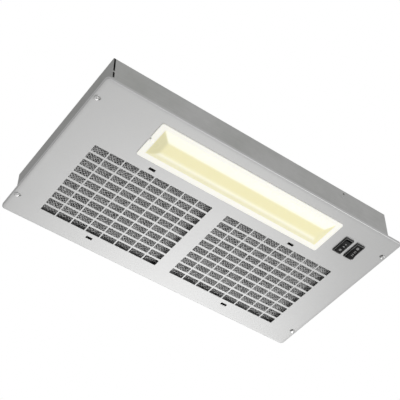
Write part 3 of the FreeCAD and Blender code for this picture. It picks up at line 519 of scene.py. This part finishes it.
def strand_layer(name, centre, span, material, seed):
    """Geometry Nodes: rows of waved strands that meet as diamonds, crumpled by seeded noise."""
    values = {"Width": span[0], "Depth": span[1], "Diamond": 0.0050, "Row": 0.0027, "Crumple": 0.0026,
              "Strand": 0.00056, "Seed": seed}
    tree, nodes, links, size = geometry_tree(name, [(label, "Float") for label in values])

    def step_of(operation, a, b=None):
        return math_node(nodes, links, operation, a, b)

    def vector(x, y, z):
        node = nodes.new("ShaderNodeCombineXYZ")
        for socket, value in zip(node.inputs, (x, y, z)):
            feed(links, socket, value)
        return node.outputs["Vector"]

    half_w = step_of("MULTIPLY", size["Width"], 0.5)
    half_d = step_of("MULTIPLY", size["Depth"], 0.5)
    line = nodes.new("GeometryNodeCurvePrimitiveLine")
    links.new(vector(step_of("MULTIPLY", half_w, -1.0), 0, 0), line.inputs["Start"])
    links.new(vector(half_w, 0, 0), line.inputs["End"])
    steps = step_of("ROUND", step_of("DIVIDE",
                      step_of("MULTIPLY", size["Width"], 4.0), size["Diamond"]))
    count = step_of("ADD", steps, 1.0)
    cut = nodes.new("GeometryNodeResampleCurve")
    links.new(line.outputs["Curve"], cut.inputs["Curve"])
    links.new(count, cut.inputs["Count"])
    rows = nodes.new("GeometryNodeMeshLine")
    links.new(step_of("FLOOR", step_of("DIVIDE", size["Depth"], size["Row"])),
              rows.inputs["Count"])
    links.new(vector(0, step_of("MULTIPLY", half_d, -1.0), 0), rows.inputs["Start Location"])
    links.new(vector(0, size["Row"], 0), rows.inputs["Offset"])
    laid = nodes.new("GeometryNodeInstanceOnPoints")
    links.new(rows.outputs["Mesh"], laid.inputs["Points"])
    links.new(cut.outputs["Curve"], laid.inputs["Instance"])
    real = nodes.new("GeometryNodeRealizeInstances")
    links.new(laid.outputs["Instances"], real.inputs["Geometry"])
    index = nodes.new("GeometryNodeInputIndex").outputs["Index"]
    row = step_of("FLOOR", step_of("DIVIDE",
                    step_of("ADD", index, 0.5), count))
    step = step_of("SUBTRACT", index, step_of("MULTIPLY", row, count))
    turn = step_of("ADD", step_of("MULTIPLY", step, math.pi / 2),
                     step_of("MULTIPLY", row, math.pi))
    wave = step_of("MULTIPLY", step_of("SINE", turn),
                     step_of("MULTIPLY", size["Row"], 0.5))
    waved = nodes.new("GeometryNodeSetPosition")
    links.new(real.outputs["Geometry"], waved.inputs["Geometry"])
    links.new(vector(0, wave, 0), waved.inputs["Offset"])
    crumpled = waved.outputs["Geometry"]
    where = nodes.new("GeometryNodeInputPosition").outputs["Position"]
    for scale, reach in ((75.0, 1.0), (330.0, 0.8)):
        tex = nodes.new("ShaderNodeTexNoise")
        tex.noise_dimensions = "4D"
        tex.inputs["Scale"].default_value = scale
        tex.inputs["Detail"].default_value = 1.0
        links.new(where, tex.inputs["Vector"])
        links.new(size["Seed"], tex.inputs["W"])
        centred = nodes.new("ShaderNodeVectorMath")
        centred.operation = "SUBTRACT"
        centred.inputs[1].default_value = (0.5, 0.5, 0.5)
        links.new(tex.outputs["Color"], centred.inputs[0])
        sized = nodes.new("ShaderNodeVectorMath")
        sized.operation = "SCALE"
        links.new(centred.outputs["Vector"], sized.inputs[0])
        links.new(step_of("MULTIPLY", size["Crumple"], reach), sized.inputs["Scale"])
        moved = nodes.new("GeometryNodeSetPosition")
        links.new(crumpled, moved.inputs["Geometry"])
        links.new(sized.outputs["Vector"], moved.inputs["Offset"])
        crumpled = moved.outputs["Geometry"]
    tilt = nodes.new("GeometryNodeSetCurveTilt")
    links.new(crumpled, tilt.inputs["Curve"])
    links.new(step_of("MULTIPLY", step_of("SINE",
              step_of("MULTIPLY", index, 2.4)), 0.9), tilt.inputs["Tilt"])
    profile = nodes.new("GeometryNodeCurvePrimitiveCircle")
    profile.inputs["Resolution"].default_value = 3
    links.new(size["Strand"], profile.inputs["Radius"])
    ribbon = nodes.new("GeometryNodeCurveToMesh")
    ribbon.inputs["Fill Caps"].default_value = True
    links.new(tilt.outputs["Curve"], ribbon.inputs["Curve"])
    links.new(profile.outputs["Curve"], ribbon.inputs["Profile Curve"])
    settle = nodes.new("GeometryNodeTransform")
    settle.inputs["Translation"].default_value = centre
    links.new(ribbon.outputs["Mesh"], settle.inputs["Geometry"])
    send_out(tree, settle.outputs["Geometry"], material)
    return run_tree(name, bpy.data.meshes.new(name), tree, values)


def foil_core(name, low, high, material):
    """The dense middle of the pad: a closed slab whose faces are crumpled."""
    nx, ny = 84, 64
    bm = bmesh.new()
    sheets = []
    for z, way in ((low.z, 1), (high.z, -1)):
        sheet = []
        for j in range(ny + 1):
            for i in range(nx + 1):
                x = low.x + (high.x - low.x) * i / nx
                y = low.y + (high.y - low.y) * j / ny
                rough_z = mathutils_noise.noise(Vector((x, y, z)) * 260) * 0.0005
                sheet.append(bm.verts.new((x, y, z + rough_z - way * 0.0002)))
        sheets.append(sheet)
    for sheet in sheets:
        for j in range(ny):
            for i in range(nx):
                a = j * (nx + 1) + i
                bm.faces.new((sheet[a], sheet[a + 1], sheet[a + nx + 2], sheet[a + nx + 1]))
    edge = list(range(nx + 1)) + [j * (nx + 1) + nx for j in range(1, ny + 1)]
    edge += [ny * (nx + 1) + i for i in range(nx - 1, -1, -1)] + [j * (nx + 1) for j in range(ny - 1, 0, -1)]
    for a, b in zip(edge, edge[1:] + edge[:1]):
        bm.faces.new((sheets[0][a], sheets[0][b], sheets[1][b], sheets[1][a]))
    bmesh.ops.recalc_face_normals(bm, faces=bm.faces)
    return to_object(name, bm, material)


# One foil in two tones: the strands carry its bright own tone, and the core's far darker tone is painted
# shade deep in the pad.
strand_foil = foil_aluminium("filter_strands", 0.86, 1.0, 0.40)
shaded_core_foil = foil_aluminium("filter_core", 0.04, 0.30, 0.5)
FOIL_EDGE = 0.0008
for side, seed in (("left", 3.0), ("right", 8.0)):
    low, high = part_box("filter_mesh_" + side)
    middle = (low + high) / 2
    span = (high.x - low.x - 2 * FOIL_EDGE, high.y - low.y - 2 * FOIL_EDGE)
    for layer, lift in (("lower", 0.0013), ("upper", 0.0026)):
        strands = strand_layer(f"foil_strands_{layer}_{side}", (middle.x, middle.y, low.z + lift), span,
                               strand_foil, seed + lift * 1000)
        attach(strands, "hood")
    core = foil_core("foil_core_" + side, Vector((low.x + FOIL_EDGE, low.y + FOIL_EDGE, low.z + 0.0034)),
                     Vector((high.x - FOIL_EDGE, high.y - FOIL_EDGE, high.z)), shaded_core_foil)
    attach(core, "hood")
    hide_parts("filter_mesh_" + side)


def brushed_aluminium(name, tone, grain):
    """Mill finish aluminium with its rolling grain."""
    material, nodes, links, shader, place = start_finish(name, Metallic=0.9, Roughness=0.34)
    streak = noise(nodes, links, stretched(nodes, links, place, grain), 1.0, 5.0, 0.65)
    colour = ramp(nodes, links, streak, [(0.3, tone * 0.85), (0.7, tone * 1.1)])
    links.new(colour, shader.inputs["Base Color"])
    bump(nodes, links, shader, streak, 0.00004, 0.35)
    return material


dress(brushed_aluminium("filter_channel", 0.62, (60, 900, 60)), "filter_frame_left", "filter_frame_right")


# Mounting screws and the other fasteners. Pan head screws with a cross recess, and blind rivets with a
# domed head and a drawn mandrel; all zinc plated, and each kind repeated from one pattern piece.
def zinc_plate(name, tone, rough):
    """Bright zinc plate, a little clouded and scratched."""
    return mottled_finish(name, (700, 4.0, 0.7), [(0.3, tone * 0.82), (0.7, tone * 1.1)],
                          (2600, 2.0, 0.00002, 0.4), Metallic=1.0, Roughness=rough)


def islands(node):
    """The box of each separate solid in a CAD node, as (low, high)."""
    bm = bmesh.new()
    bm.from_mesh(NODES[node].data)
    bmesh.ops.remove_doubles(bm, verts=bm.verts, dist=0.000001)
    bm.verts.ensure_lookup_table()
    unseen = set(bm.verts)
    boxes = []
    while unseen:
        stack = [unseen.pop()]
        island = [stack[0]]
        while stack:
            for edge in stack.pop().link_edges:
                for vert in edge.verts:
                    if vert in unseen:
                        unseen.remove(vert)
                        stack.append(vert)
                        island.append(vert)
        corners = [[pick(v.co[axis] for v in island) for axis in range(3)] for pick in (min, max)]
        boxes.append((Vector(corners[0]), Vector(corners[1])))
    bm.free()
    return sorted(boxes, key=lambda b: (round(b[0].x, 4), round(b[0].y, 4), round(b[0].z, 4)))


def turned(profile, steps, recess=0.0):
    """A turned piece about Z from (radius, height) points, closed at its ends; a recess dimples its crown."""
    bm = bmesh.new()
    rings = []
    for radius, z in profile:
        if radius < 1e-7:
            rings.append([bm.verts.new((0, 0, z))])
            continue
        ring = []
        for i in range(steps):
            a = 2 * math.pi * i / steps
            ring.append(bm.verts.new((radius * math.cos(a), radius * math.sin(a), z)))
        rings.append(ring)
    for a, b in zip(rings, rings[1:]):
        for i in range(steps):
            j = (i + 1) % steps
            if len(a) == 1:
                bm.faces.new((a[0], b[j], b[i]))
            elif len(b) == 1:
                bm.faces.new((a[i], a[j], b[0]))
            else:
                bm.faces.new((a[i], a[j], b[j], b[i]))
    if recess:
        for ring in rings:
            for vert in ring:
                reach = max(abs(vert.co.x), abs(vert.co.y))
                arm = min(abs(vert.co.x), abs(vert.co.y))
                if vert.co.z > 0 and reach < recess and arm < recess * 0.30:
                    vert.co.z -= recess * 0.75 * (1 - (reach / recess) ** 2)
    bmesh.ops.recalc_face_normals(bm, faces=bm.faces)
    return bm


def pan_screw(head_r, head_h, shank_r, shank_len, neck_r=None, neck_len=0.0):
    """A pan head screw whose head sits on z = 0, its threaded shank below."""
    reaches = [0.06 * k for k in range(10)] + [0.62, 0.70]
    crown = [(head_r * k, head_h * (1 - 0.10 * k * k)) for k in reaches]
    crown += [(head_r * (0.70 + 0.30 * math.sin(math.radians(a))),
               head_h * (0.45 + 0.50 * math.cos(math.radians(a)))) for a in (25, 50, 75)]
    profile = crown + [(head_r, head_h * 0.42), (head_r, head_h * 0.06), (head_r * 0.98, 0.0)]
    neck = neck_r or shank_r * 0.84
    profile += [(neck, 0.0), (neck, -neck_len - 0.0002)]
    z = -neck_len - 0.0004
    pitch = 0.0014
    while z > -(shank_len - shank_r * 1.4):
        profile += [(shank_r * 0.80, z), (shank_r, z - pitch * 0.4), (shank_r, z - pitch * 0.5),
                    (shank_r * 0.80, z - pitch * 0.9)]
        z -= pitch
    profile += [(shank_r * 0.5, -shank_len + shank_r * 0.7), (0.0, -shank_len)]
    return turned(profile, 40, recess=head_r * 0.52)


def blind_rivet(head_r, head_h, shank_r, depth):
    """A blind rivet whose head sits on z = 0, with its mandrel's dimple in the crown."""
    dimple = shank_r * 0.55
    profile = [(0.0, head_h * 0.55), (dimple * 0.9, head_h * 0.55), (dimple, head_h * 0.98)]
    profile += [(dimple + (head_r - dimple) * math.sin(math.radians(a)), head_h * math.cos(math.radians(a)))
                for a in (15, 30, 45, 60, 75)]
    profile += [(head_r, head_h * 0.12), (head_r * 0.98, 0.0)]
    profile += [(shank_r, 0.0), (shank_r, -depth), (0.0, -depth)]
    return turned(profile, 28)


def set_of_fasteners(name, pattern, material, places):
    """Geometry Nodes: the pattern piece on every point, turned to the direction each point carries."""
    tree, nodes, links, given = geometry_tree(name, (("Size", "Float"),))
    pattern_obj = to_object(name + "_pattern", pattern, material)
    info = nodes.new("GeometryNodeObjectInfo")
    info.inputs["Object"].default_value = pattern_obj
    facing = nodes.new("GeometryNodeInputNamedAttribute")
    facing.data_type = "FLOAT_VECTOR"
    facing.inputs["Name"].default_value = "facing"
    align = nodes.new("FunctionNodeAlignRotationToVector")
    align.axis = "Z"
    links.new(facing.outputs["Attribute"], align.inputs["Vector"])
    spread = nodes.new("GeometryNodeInstanceOnPoints")
    for value, label in ((given["Geometry"], "Points"), (info.outputs["Geometry"], "Instance"),
                         (align.outputs["Rotation"], "Rotation"), (given["Size"], "Scale")):
        links.new(value, spread.inputs[label])
    real = nodes.new("GeometryNodeRealizeInstances")
    links.new(spread.outputs["Instances"], real.inputs["Geometry"])
    send_out(tree, real.outputs["Geometry"], material)
    points = bpy.data.meshes.new(name)
    points.from_pydata([place for place, _way in places], [], [])
    facings = points.attributes.new("facing", "FLOAT_VECTOR", "POINT")
    for item, (_place, way) in zip(facings.data, places):
        item.vector = way
    obj = run_tree(name, points, tree, {"Size": 1.0})
    bpy.data.objects.remove(pattern_obj)
    return obj


def fasten(name, pattern, material, places, node):
    """A set of fasteners that stands for a CAD node on the hood."""
    obj = set_of_fasteners(name, pattern, material, places)
    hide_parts(node)
    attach(obj, "hood")
    return obj


def middle_of(low, high, **fixed):
    """The middle of a box, with some of its coordinates given."""
    return Vector([fixed.get(axis, (low[i] + high[i]) / 2) for i, axis in enumerate("xyz")])


UP, DOWN = Vector((0, 0, 1)), Vector((0, 0, -1))
bright_zinc = zinc_plate("bright_zinc", 0.86, 0.24)
dull_zinc = zinc_plate("dull_zinc", 0.62, 0.36)
screws = [(middle_of(a, b, z=under), DOWN) for a, b in islands("mounting_screws")]
fasten("panel_screws", pan_screw(0.0034, 0.0020, 0.0021, 0.018, 0.0019, 0.0019), bright_zinc, screws,
       "mounting_screws")
ROOF_SCREW = (0.0036, 0.0022, 0.0018)
roof_sets = (("roof_screws", "cover_screws", 0.007), ("strap_screws", "motor_bracket_screws", 0.006))
for name, node, length in roof_sets:
    places = [(middle_of(a, b, z=b.z - ROOF_SCREW[1]), UP) for a, b in islands(node)]
    fasten(name, pan_screw(*ROOF_SCREW, length), dull_zinc, places, node)

rivets, small_rivets = [], []
for a, b in islands("corner_rivets"):
    size = b - a
    if size.z < min(size.x, size.y):
        rivets.append((middle_of(a, b, z=b.z - 0.001), UP))
    elif b.y < 0 and size.x < 0.0045:
        small_rivets.append((middle_of(a, b, y=a.y + 0.0007), Vector((0, -1, 0))))
    elif b.y < 0:
        rivets.append((middle_of(a, b, y=a.y + 0.001), Vector((0, -1, 0))))
    else:
        rivets.append((middle_of(a, b, y=b.y - 0.001), Vector((0, 1, 0))))
fasten("housing_rivets", blind_rivet(0.0026, 0.0010, 0.0016, 0.0016), dull_zinc, rivets, "corner_rivets")
strap_rivet = set_of_fasteners("ballast_rivet", blind_rivet(0.0019, 0.0007, 0.0016, 0.0012), dull_zinc,
                               small_rivets)
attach(strap_rivet, "hood")
collar_places = [(middle_of(a, b, z=b.z - 0.001), UP) for a, b in islands("collar_rivets")]
fasten("duct_rivets", blind_rivet(0.0026, 0.0010, 0.0016, 0.0022), dull_zinc, collar_places, "collar_rivets")
dress(dull_zinc, "damper_rod", "motor_shaft", "bearing_bracket_left", "bearing_bracket_right", "lens_catch")
dress(zinc_plate("spring_steel", 0.52, 0.32), "filter_clips")


# Lamp lens. A vacuum formed diffuser of translucent warm white plastic: a rim that bears on the panel, a
# dropped dome with a flat front slope and a rounded back, a catch notch at its left and hooks at its right.
def warm_diffuser():
    """Milky warm plastic with a painted glow; the mesh carries painted light and shade for each of its walls.
    """
    material, nodes, links, shader, place = start_finish("warm_diffuser", Roughness=0.42, IOR=1.49)
    tint = nodes.new("ShaderNodeAttribute")
    tint.attribute_name = "wall_tint"
    cloud = ramp(nodes, links, noise(nodes, links, place, 35, 2.0), [(0.3, (0.985, 0.985, 0.97)), (0.7, 1.0)])
    depth = blend_colours(nodes, links, tint.outputs["Color"], cloud, 1.0, "MULTIPLY")
    links.new(depth, shader.inputs["Base Color"])
    links.new(depth, shader.inputs["Emission Color"])
    # Painted glow: the diffuser emits its own colour as if the tube behind it were lit.
    shader.inputs["Emission Strength"].default_value = 0.38
    shader.inputs["Subsurface Weight"].default_value = 0.15
    shader.inputs["Subsurface Radius"].default_value = (0.004, 0.0035, 0.002)
    bump(nodes, links, shader, noise(nodes, links, place, 60, 2.0), 0.0004, 0.06)
    return material


lens_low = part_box("lamp_lens")[0]
# Wall colours: the plastic's warm cream with painted light and shade. The front wall is painted lit and
# whiter, the floor, ends and back slope are painted shaded and yellower, and the back shoulder carries a
# painted highlight band.
LENS_RIM_TINT = (0.86, 0.85, 0.80)
LENS_FRONT_LIT_TINT = (0.95, 0.94, 0.80)
LENS_FLOOR_SHADE_TINT = (0.80, 0.75, 0.46)
LENS_END_SHADE_TINT = (0.76, 0.72, 0.46)
LENS_SHOULDER_HIGHLIGHT_TINT = (0.92, 0.90, 0.74)
LENS_BACK_SHADE_TINT = (0.84, 0.80, 0.56)
LENS_DROP = under - lens_low.z
LENS_RIM = (-0.1594, 0.1618, -0.1223, -0.0576)
RIM_T = 0.0014
LAMP_Y = -0.090
DOME = (-0.153, 0.1551, -0.117, -0.0645)
FRONT_RUN, BACK_RUN, END_RUN = 0.0137, 0.0221, 0.016


def soft_min(a, b, reach):
    """The smaller of two heights, rounded over where they cross."""
    h = max(reach - abs(a - b), 0.0) / reach
    return min(a, b) - h * h * reach * 0.25


def dome_walls(x, y):
    """How far the front, end and back walls would each drop at a point, and how far round the back it is."""
    front = (y - DOME[2]) * LENS_DROP / FRONT_RUN
    ends = min(x - DOME[0], DOME[1] - x) * LENS_DROP / END_RUN
    turn = (DOME[3] - y) / BACK_RUN
    back = LENS_DROP * math.sin(math.pi / 2 * min(turn, 1.0)) if turn > 0 else turn * 0.02
    return front, ends, back, turn


def lens_depth(x, y):
    """How far the lens stands below the panel at a point."""
    front, ends, back, _turn = dome_walls(x, y)
    dome = soft_min(soft_min(soft_min(front, LENS_DROP, 0.0014), ends, 0.0016), back, 0.0012)
    depth = -soft_min(-dome, -RIM_T, 0.0007)
    grip_x, grip_y = abs(x + 0.1552), abs(y - LAMP_Y - 0.0018)
    if grip_x < 0.0026 and grip_y < 0.0024:
        depth += 0.0006 * min(1.0, (0.0026 - grip_x) / 0.0006, (0.0024 - grip_y) / 0.0006)
    ring = abs(math.hypot(x + 0.1500, y - LAMP_Y - 0.0018) - 0.0058)
    if ring < 0.0008 and x > -0.1525:
        depth += 0.00035 * math.cos(ring / 0.0008 * math.pi / 2)
    return min(depth, LENS_DROP)


def lens_shell():
    """The diffuser's outer face as a grid, turned up at its edge, then given its wall."""
    x0, x1, y0, y1 = LENS_RIM
    xs = [x0 + 0.0004 * k for k in (0, 1)]
    while xs[-1] < x1 - 0.0004:
        near_end = min(xs[-1] - x0, x1 - xs[-1])
        xs.append(xs[-1] + (0.0006 if near_end < 0.026 else 0.004))
    xs[-1] = x1
    ny = 96
    ys = [y0 + (y1 - y0) * j / ny for j in range(ny + 1)]
    notch_y, notch_r = LAMP_Y - 0.0014, 0.0024
    bm = bmesh.new()
    grid = []
    for y in ys:
        bite = math.sqrt(max(notch_r ** 2 - (y - notch_y) ** 2, 0.0))
        row = []
        for x in xs:
            pull = bite * max(0.0, 1 - (x - x0) / 0.007)
            corner_x, corner_y = max(abs(x - (x0 + x1) / 2) - (x1 - x0) / 2 + 0.003, 0.0), \
                max(abs(y - (y0 + y1) / 2) - (y1 - y0) / 2 + 0.003, 0.0)
            px, py = x + pull, y
            over = math.hypot(corner_x, corner_y) - 0.003
            if over > 0 and corner_x and corner_y:
                scale = 0.003 / math.hypot(corner_x, corner_y)
                px = x - math.copysign(corner_x * (1 - scale), x)
                py = y - math.copysign(corner_y * (1 - scale), y - (y0 + y1) / 2)
            row.append(bm.verts.new((px, py, under - lens_depth(px, py))))
        grid.append(row)
    for low_row, high_row in zip(grid, grid[1:]):
        for i in range(len(xs) - 1):
            bm.faces.new((low_row[i], high_row[i], high_row[i + 1], low_row[i + 1]))
    border = grid[0] + [row[-1] for row in grid[1:]] + grid[-1][-2::-1] + [row[0] for row in grid[-2:0:-1]]
    upper = {}
    for row in grid:
        for vert in row:
            lift = RIM_T if vert in border else 0.0014
            z = min(vert.co.z + lift, under)
            upper[vert] = bm.verts.new((vert.co.x, vert.co.y, z))
    for low_row, high_row in zip(grid, grid[1:]):
        for i in range(len(xs) - 1):
            bm.faces.new([upper[v] for v in (low_row[i], low_row[i + 1], high_row[i + 1], high_row[i])])
    for a, b in zip(border, border[1:] + border[:1]):
        bm.faces.new((a, b, upper[b], upper[a]))
    hooks = []
    for y in HOOK_YS:
        hooks += [(0.1590, 0.1605, y, 0.0040, under - 0.0003, panel_top + 0.0020),
                  (0.1590, 0.1645, y, 0.0040, panel_top + 0.0005, panel_top + 0.0020)]
    hooks.append((-0.1512, -0.1497, LAMP_Y, 0.0050, under - 0.0008, panel_top + 0.0070))
    for hx0, hx1, y, half, z0, z1 in hooks:
        made = bmesh.ops.create_cube(bm, size=1.0)["verts"]
        for vert in made:
            vert.co = Vector((hx0 if vert.co.x < 0 else hx1, y + half * 2 * vert.co.y,
                              z0 if vert.co.z < 0 else z1))
    bmesh.ops.recalc_face_normals(bm, faces=bm.faces)
    return bm


def lens_painted_light(x, y):
    """The plastic's warm colour on each wall of the dome with painted light and shade: a lit front wall, a
    painted highlight on the back shoulder, and a shaded floor, ends and back slope, softly joined where they
    meet.
    """
    front, ends, back, turn = dome_walls(x, y)
    first, second = (LENS_BACK_SHADE_TINT, LENS_SHOULDER_HIGHLIGHT_TINT) if turn < 0.75 else (LENS_SHOULDER_HIGHLIGHT_TINT, LENS_FLOOR_SHADE_TINT)
    mix = min(max((turn - (0.45 if turn < 0.75 else 0.75)) / 0.30, 0.0), 1.0)
    curve = tuple(p + (q - p) * mix for p, q in zip(first, second))
    walls = [(front, LENS_FRONT_LIT_TINT), (LENS_DROP, LENS_FLOOR_SHADE_TINT), (ends, LENS_END_SHADE_TINT), (back, curve)]
    if min(front, ends, back) < RIM_T:
        return LENS_RIM_TINT
    weights = [math.exp(-(value - min(front, ends, back, LENS_DROP)) / 0.0005) for value, _tint in walls]
    total = sum(weights)
    return tuple(sum(w * tint[k] for w, (_v, tint) in zip(weights, walls)) / total for k in range(3))


lens = to_object("diffuser_lens", lens_shell(), warm_diffuser())
# Each vertex takes its wall's painted light and shade.
lens_shading = lens.data.color_attributes.new("wall_tint", "FLOAT_COLOR", "POINT")
for item, vert in zip(lens_shading.data, lens.data.vertices):
    item.color = (*lens_painted_light(vert.co.x, vert.co.y), 1)
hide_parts("lamp_lens")
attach(lens, "lens")


# Switches. Two snap-in rocker switches in satin black nylon: each bezel has a raised inner rim round a deep
# well, and each rocker has gripping ribs at its waist and moulded marks.
def black_nylon(name, tone, rough):
    """Moulded black nylon: fine spark texture and a little handling shine."""
    return mottled_finish(name, (240, 3.0), [(0.3, tone * 0.7), (0.7, tone * 1.3)],
                          (3200, 2.0, 0.00003, 0.4), Roughness=rough, Specular_IOR_Level=0.22)


def ring_about(name, low, high, profile, material, corner=0.0012, steps=5):
    """A closed section swept round a rectangle; profile points are (inset from the edge, height)."""
    bm = bmesh.new()
    rings = []
    for sx, sy, start in ((1, 1, 0), (-1, 1, 90), (-1, -1, 180), (1, -1, 270)):
        for k in range(steps + 1):
            a = math.radians(start + 90 * k / steps)
            ring = []
            for inset, z in profile:
                r = corner - inset
                cx = (high.x if sx > 0 else low.x) - sx * corner
                cy = (high.y if sy > 0 else low.y) - sy * corner
                if r >= 0:
                    ring.append(bm.verts.new((cx + r * math.cos(a), cy + r * math.sin(a), z)))
                else:
                    ring.append(bm.verts.new((cx + r * sx, cy + r * sy, z)))
            rings.append(ring)
    count = len(profile)
    for a, b in zip(rings, rings[1:] + rings[:1]):
        for i in range(count):
            j = (i + 1) % count
            bm.faces.new((a[i], b[i], b[j], a[j]))
    bmesh.ops.remove_doubles(bm, verts=bm.verts, dist=0.000002)
    bmesh.ops.dissolve_degenerate(bm, edges=bm.edges, dist=0.000002)
    bmesh.ops.recalc_face_normals(bm, faces=bm.faces)
    return to_object(name, bm, material)


bezel_black = black_nylon("bezel_black", 0.010, 0.42)
rocker_black = black_nylon("rocker_black", 0.010, 0.48)
# The raised rim is the bezel's black nylon painted mid grey and glossier: a painted highlight along the rim.
rim_black = black_nylon("rim_black", 0.30, 0.30)
dress(bezel_black, "fan_switch_body", "light_switch_body")
dress(rocker_black, "fan_rocker", "light_rocker")
for node in ("fan_switch_body", "light_switch_body"):
    a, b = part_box(node)
    face = a.z
    outer = [(0.0009, face - 0.00002), (0.0011, face - 0.00022), (0.0014, face - 0.00022),
             (0.0016, face + 0.0002), (0.0016, face + 0.0006), (0.0009, face + 0.0004)]
    rim = ring_about(node.replace("body", "rim"), a, b, outer, rim_black)
    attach(rim, "hood")


def rocker_marks(name, x, pivot_y, tilt, marks):
    """Marks moulded on a rocker's face, as (place along it, width, length, whether it is a ring)."""
    bm = bmesh.new()
    waist_drop, end_drop = 0.0033, 0.0042
    waist, end = 0.0030, 0.0123
    slope = (end_drop - waist_drop) / (end - waist)
    steps = 20
    for along, width, length, ring in marks:
        z = under - waist_drop - max(abs(along) - waist, 0.0) * slope - 0.00006
        if abs(along) < waist + 0.0004:
            z -= 0.0004
        if ring:
            rows = []
            for share, dz in ((1.0, 0.0001), (1.0, -0.00012), (0.55, -0.00012), (0.55, 0.0001)):
                turns = [2 * math.pi * k / steps for k in range(steps)]
                rows.append([bm.verts.new((x + width * share * math.cos(a),
                                           pivot_y + along + length * share * math.sin(a), z + dz))
                             for a in turns])
            for p, q in zip(rows, rows[1:] + rows[:1]):
                bridge(bm, p, q)
            continue
        for vert in bmesh.ops.create_cube(bm, size=1.0)["verts"]:
            vert.co = Vector((x + vert.co.x * width, pivot_y + along + vert.co.y * length,
                              z + vert.co.z * 0.00024))
    bmesh.ops.recalc_face_normals(bm, faces=bm.faces)
    turn = Matrix.Translation((x, pivot_y, PIVOT_Z)) @ Matrix.Rotation(math.radians(tilt), 4, "X")
    turn = turn @ Matrix.Translation((-x, -pivot_y, -PIVOT_Z))
    bmesh.ops.transform(bm, matrix=turn, verts=bm.verts)
    obj = to_object(name, bm, mark_white)
    return obj


mark_white, mark_nodes, mark_links, mark_shader, mark_place = start_finish("mark_white", Roughness=0.5)
mark_tone = noise(mark_nodes, mark_links, mark_place, 900)
mark_links.new(ramp(mark_nodes, mark_links, mark_tone, [(0.3, 0.42), (0.7, 0.60)]),
               mark_shader.inputs["Base Color"])
PIVOT_Z = under + 0.0030
SWITCH_Y = -0.0903
FAN_X, LIGHT_X, LIGHT_TILT = 0.1893, 0.21075, -13
fan_marks = rocker_marks("fan_rocker_marks", FAN_X, SWITCH_Y, 0,
                         [(0.0084, 0.0036, 0.0009, False), (0.0064, 0.0036, 0.0009, False),
                          (-0.0007, 0.0030, 0.0014, False), (-0.0058, 0.0022, 0.0012, False)])
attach(fan_marks, "fan_rocker")
light_marks = rocker_marks("light_rocker_marks", LIGHT_X, SWITCH_Y, LIGHT_TILT,
                           [(-0.0070, 0.0020, 0.0022, True), (-0.0015, 0.0032, 0.0007, False),
                            (0.0010, 0.0032, 0.0007, False), (0.0045, 0.0032, 0.0007, False),
                            (0.0070, 0.0032, 0.0007, False)])
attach(light_marks, "light_rocker")


def plain_finish(name, colour, rough, metallic=0.0, grain=300, spread=0.15, depth=0.00003, **sockets):
    """A finish with a fine variation in tone and a fine grain."""
    dark = tuple(c * (1 - spread) for c in colour)
    light = tuple(min(1.0, c * (1 + spread)) for c in colour)
    return mottled_finish(name, (grain, 4.0, 0.6), [(0.3, dark), (0.7, light)], (grain * 5, 2.0, depth, 0.4),
                          Metallic=metallic, Roughness=rough, **sockets)


dress(plain_finish("terminal_brass", (0.70, 0.52, 0.24), 0.3, 1.0, 500, 0.2),
      "fan_switch_terminals", "light_switch_terminals")

# Lamp and its gear. A phosphor coated tube between aluminium caps turns in white urea holders inside a tray
# enamelled gloss white; the ballast is in an enamelled can, and its strap is riveted to the front wall.
dress(plain_finish("gloss_enamel", (0.86, 0.86, 0.83), 0.25, 0.0, 40, 0.05, 0.00005), "reflector_tray",
      "ballast")
dress(plain_finish("white_urea", (0.84, 0.84, 0.80), 0.38, 0.0, 200, 0.05),
      "lampholder_left", "lampholder_right")
dress(plain_finish("phosphor_glass", (0.93, 0.92, 0.86), 0.12, 0.0, 90, 0.03, 0.00001, Coat_Weight=0.6),
      "lamp_glass")
dress(plain_finish("rolled_caps", (0.74, 0.74, 0.72), 0.34, 1.0, 700, 0.15), "lamp_caps")

# Blower. Each scroll is a galvanised wrap between two plates with drawn inlet mouths; the squirrel cage
# wheels are pressed aluminium on a ground steel shaft.
scroll_zinc = galvanised_sheet("galvanised_scrolls", 0.52, (12, 300, 300), 0.005)
for side in ("left", "right"):
    dress(scroll_zinc, "scroll_wrap_" + side, "outer_inlet_plate_" + side, "inner_inlet_plate_" + side)
dress(brushed_aluminium("wheel_strip", 0.66, (900, 80, 80)), "blower_wheel_left", "blower_wheel_right")

# Motor. A shaded pole motor: varnished laminations round its rotor, a taped winding on the rear limb, and
# bronze bushes in pressed bridges; an inverted U of sheet hangs it from the blower cover.
dress(plain_finish("varnished_laminations", (0.20, 0.19, 0.19), 0.42, 0.7, 120, 0.3), "motor_stack",
      "motor_rotor")
dress(plain_finish("taped_winding", (0.42, 0.16, 0.06), 0.35, 0.0, 260, 0.3, 0.0001), "motor_coil")
dress(plain_finish("sintered_bronze", (0.56, 0.36, 0.16), 0.45, 1.0, 900, 0.25), "bearing_bush_left",
      "bearing_bush_right")

# Blower cover, duct collar and damper. Folded from the same galvanised sheet and fixed on the roof; the
# damper's flap is rolled round its rod and rests on two stops in the collar.
roof_zinc = galvanised_sheet("galvanised_roof", 0.54, (9, 700, 300), 0.008)
dress(roof_zinc, "blower_cover", "duct_collar", "motor_bracket")
dress(galvanised_sheet("galvanised_damper", 0.60, (9, 600, 600), 0.007), "damper_flap")

# Wiring box. A steel box with a lid on the roof; the leads come up to it through a rubber grommet.
dress(galvanised_sheet("galvanised_box", 0.50, (300, 9, 300), 0.006), "wiring_box", "wiring_box_cover")
dress(plain_finish("moulded_rubber", (0.025, 0.025, 0.025), 0.65, 0.0, 300, 0.4), "lead_grommet")
dress(plain_finish("vinyl_sleeve", (0.80, 0.80, 0.76), 0.42, 0.0, 200, 0.06), "switch_lead", "lamp_lead",
      "motor_lead")
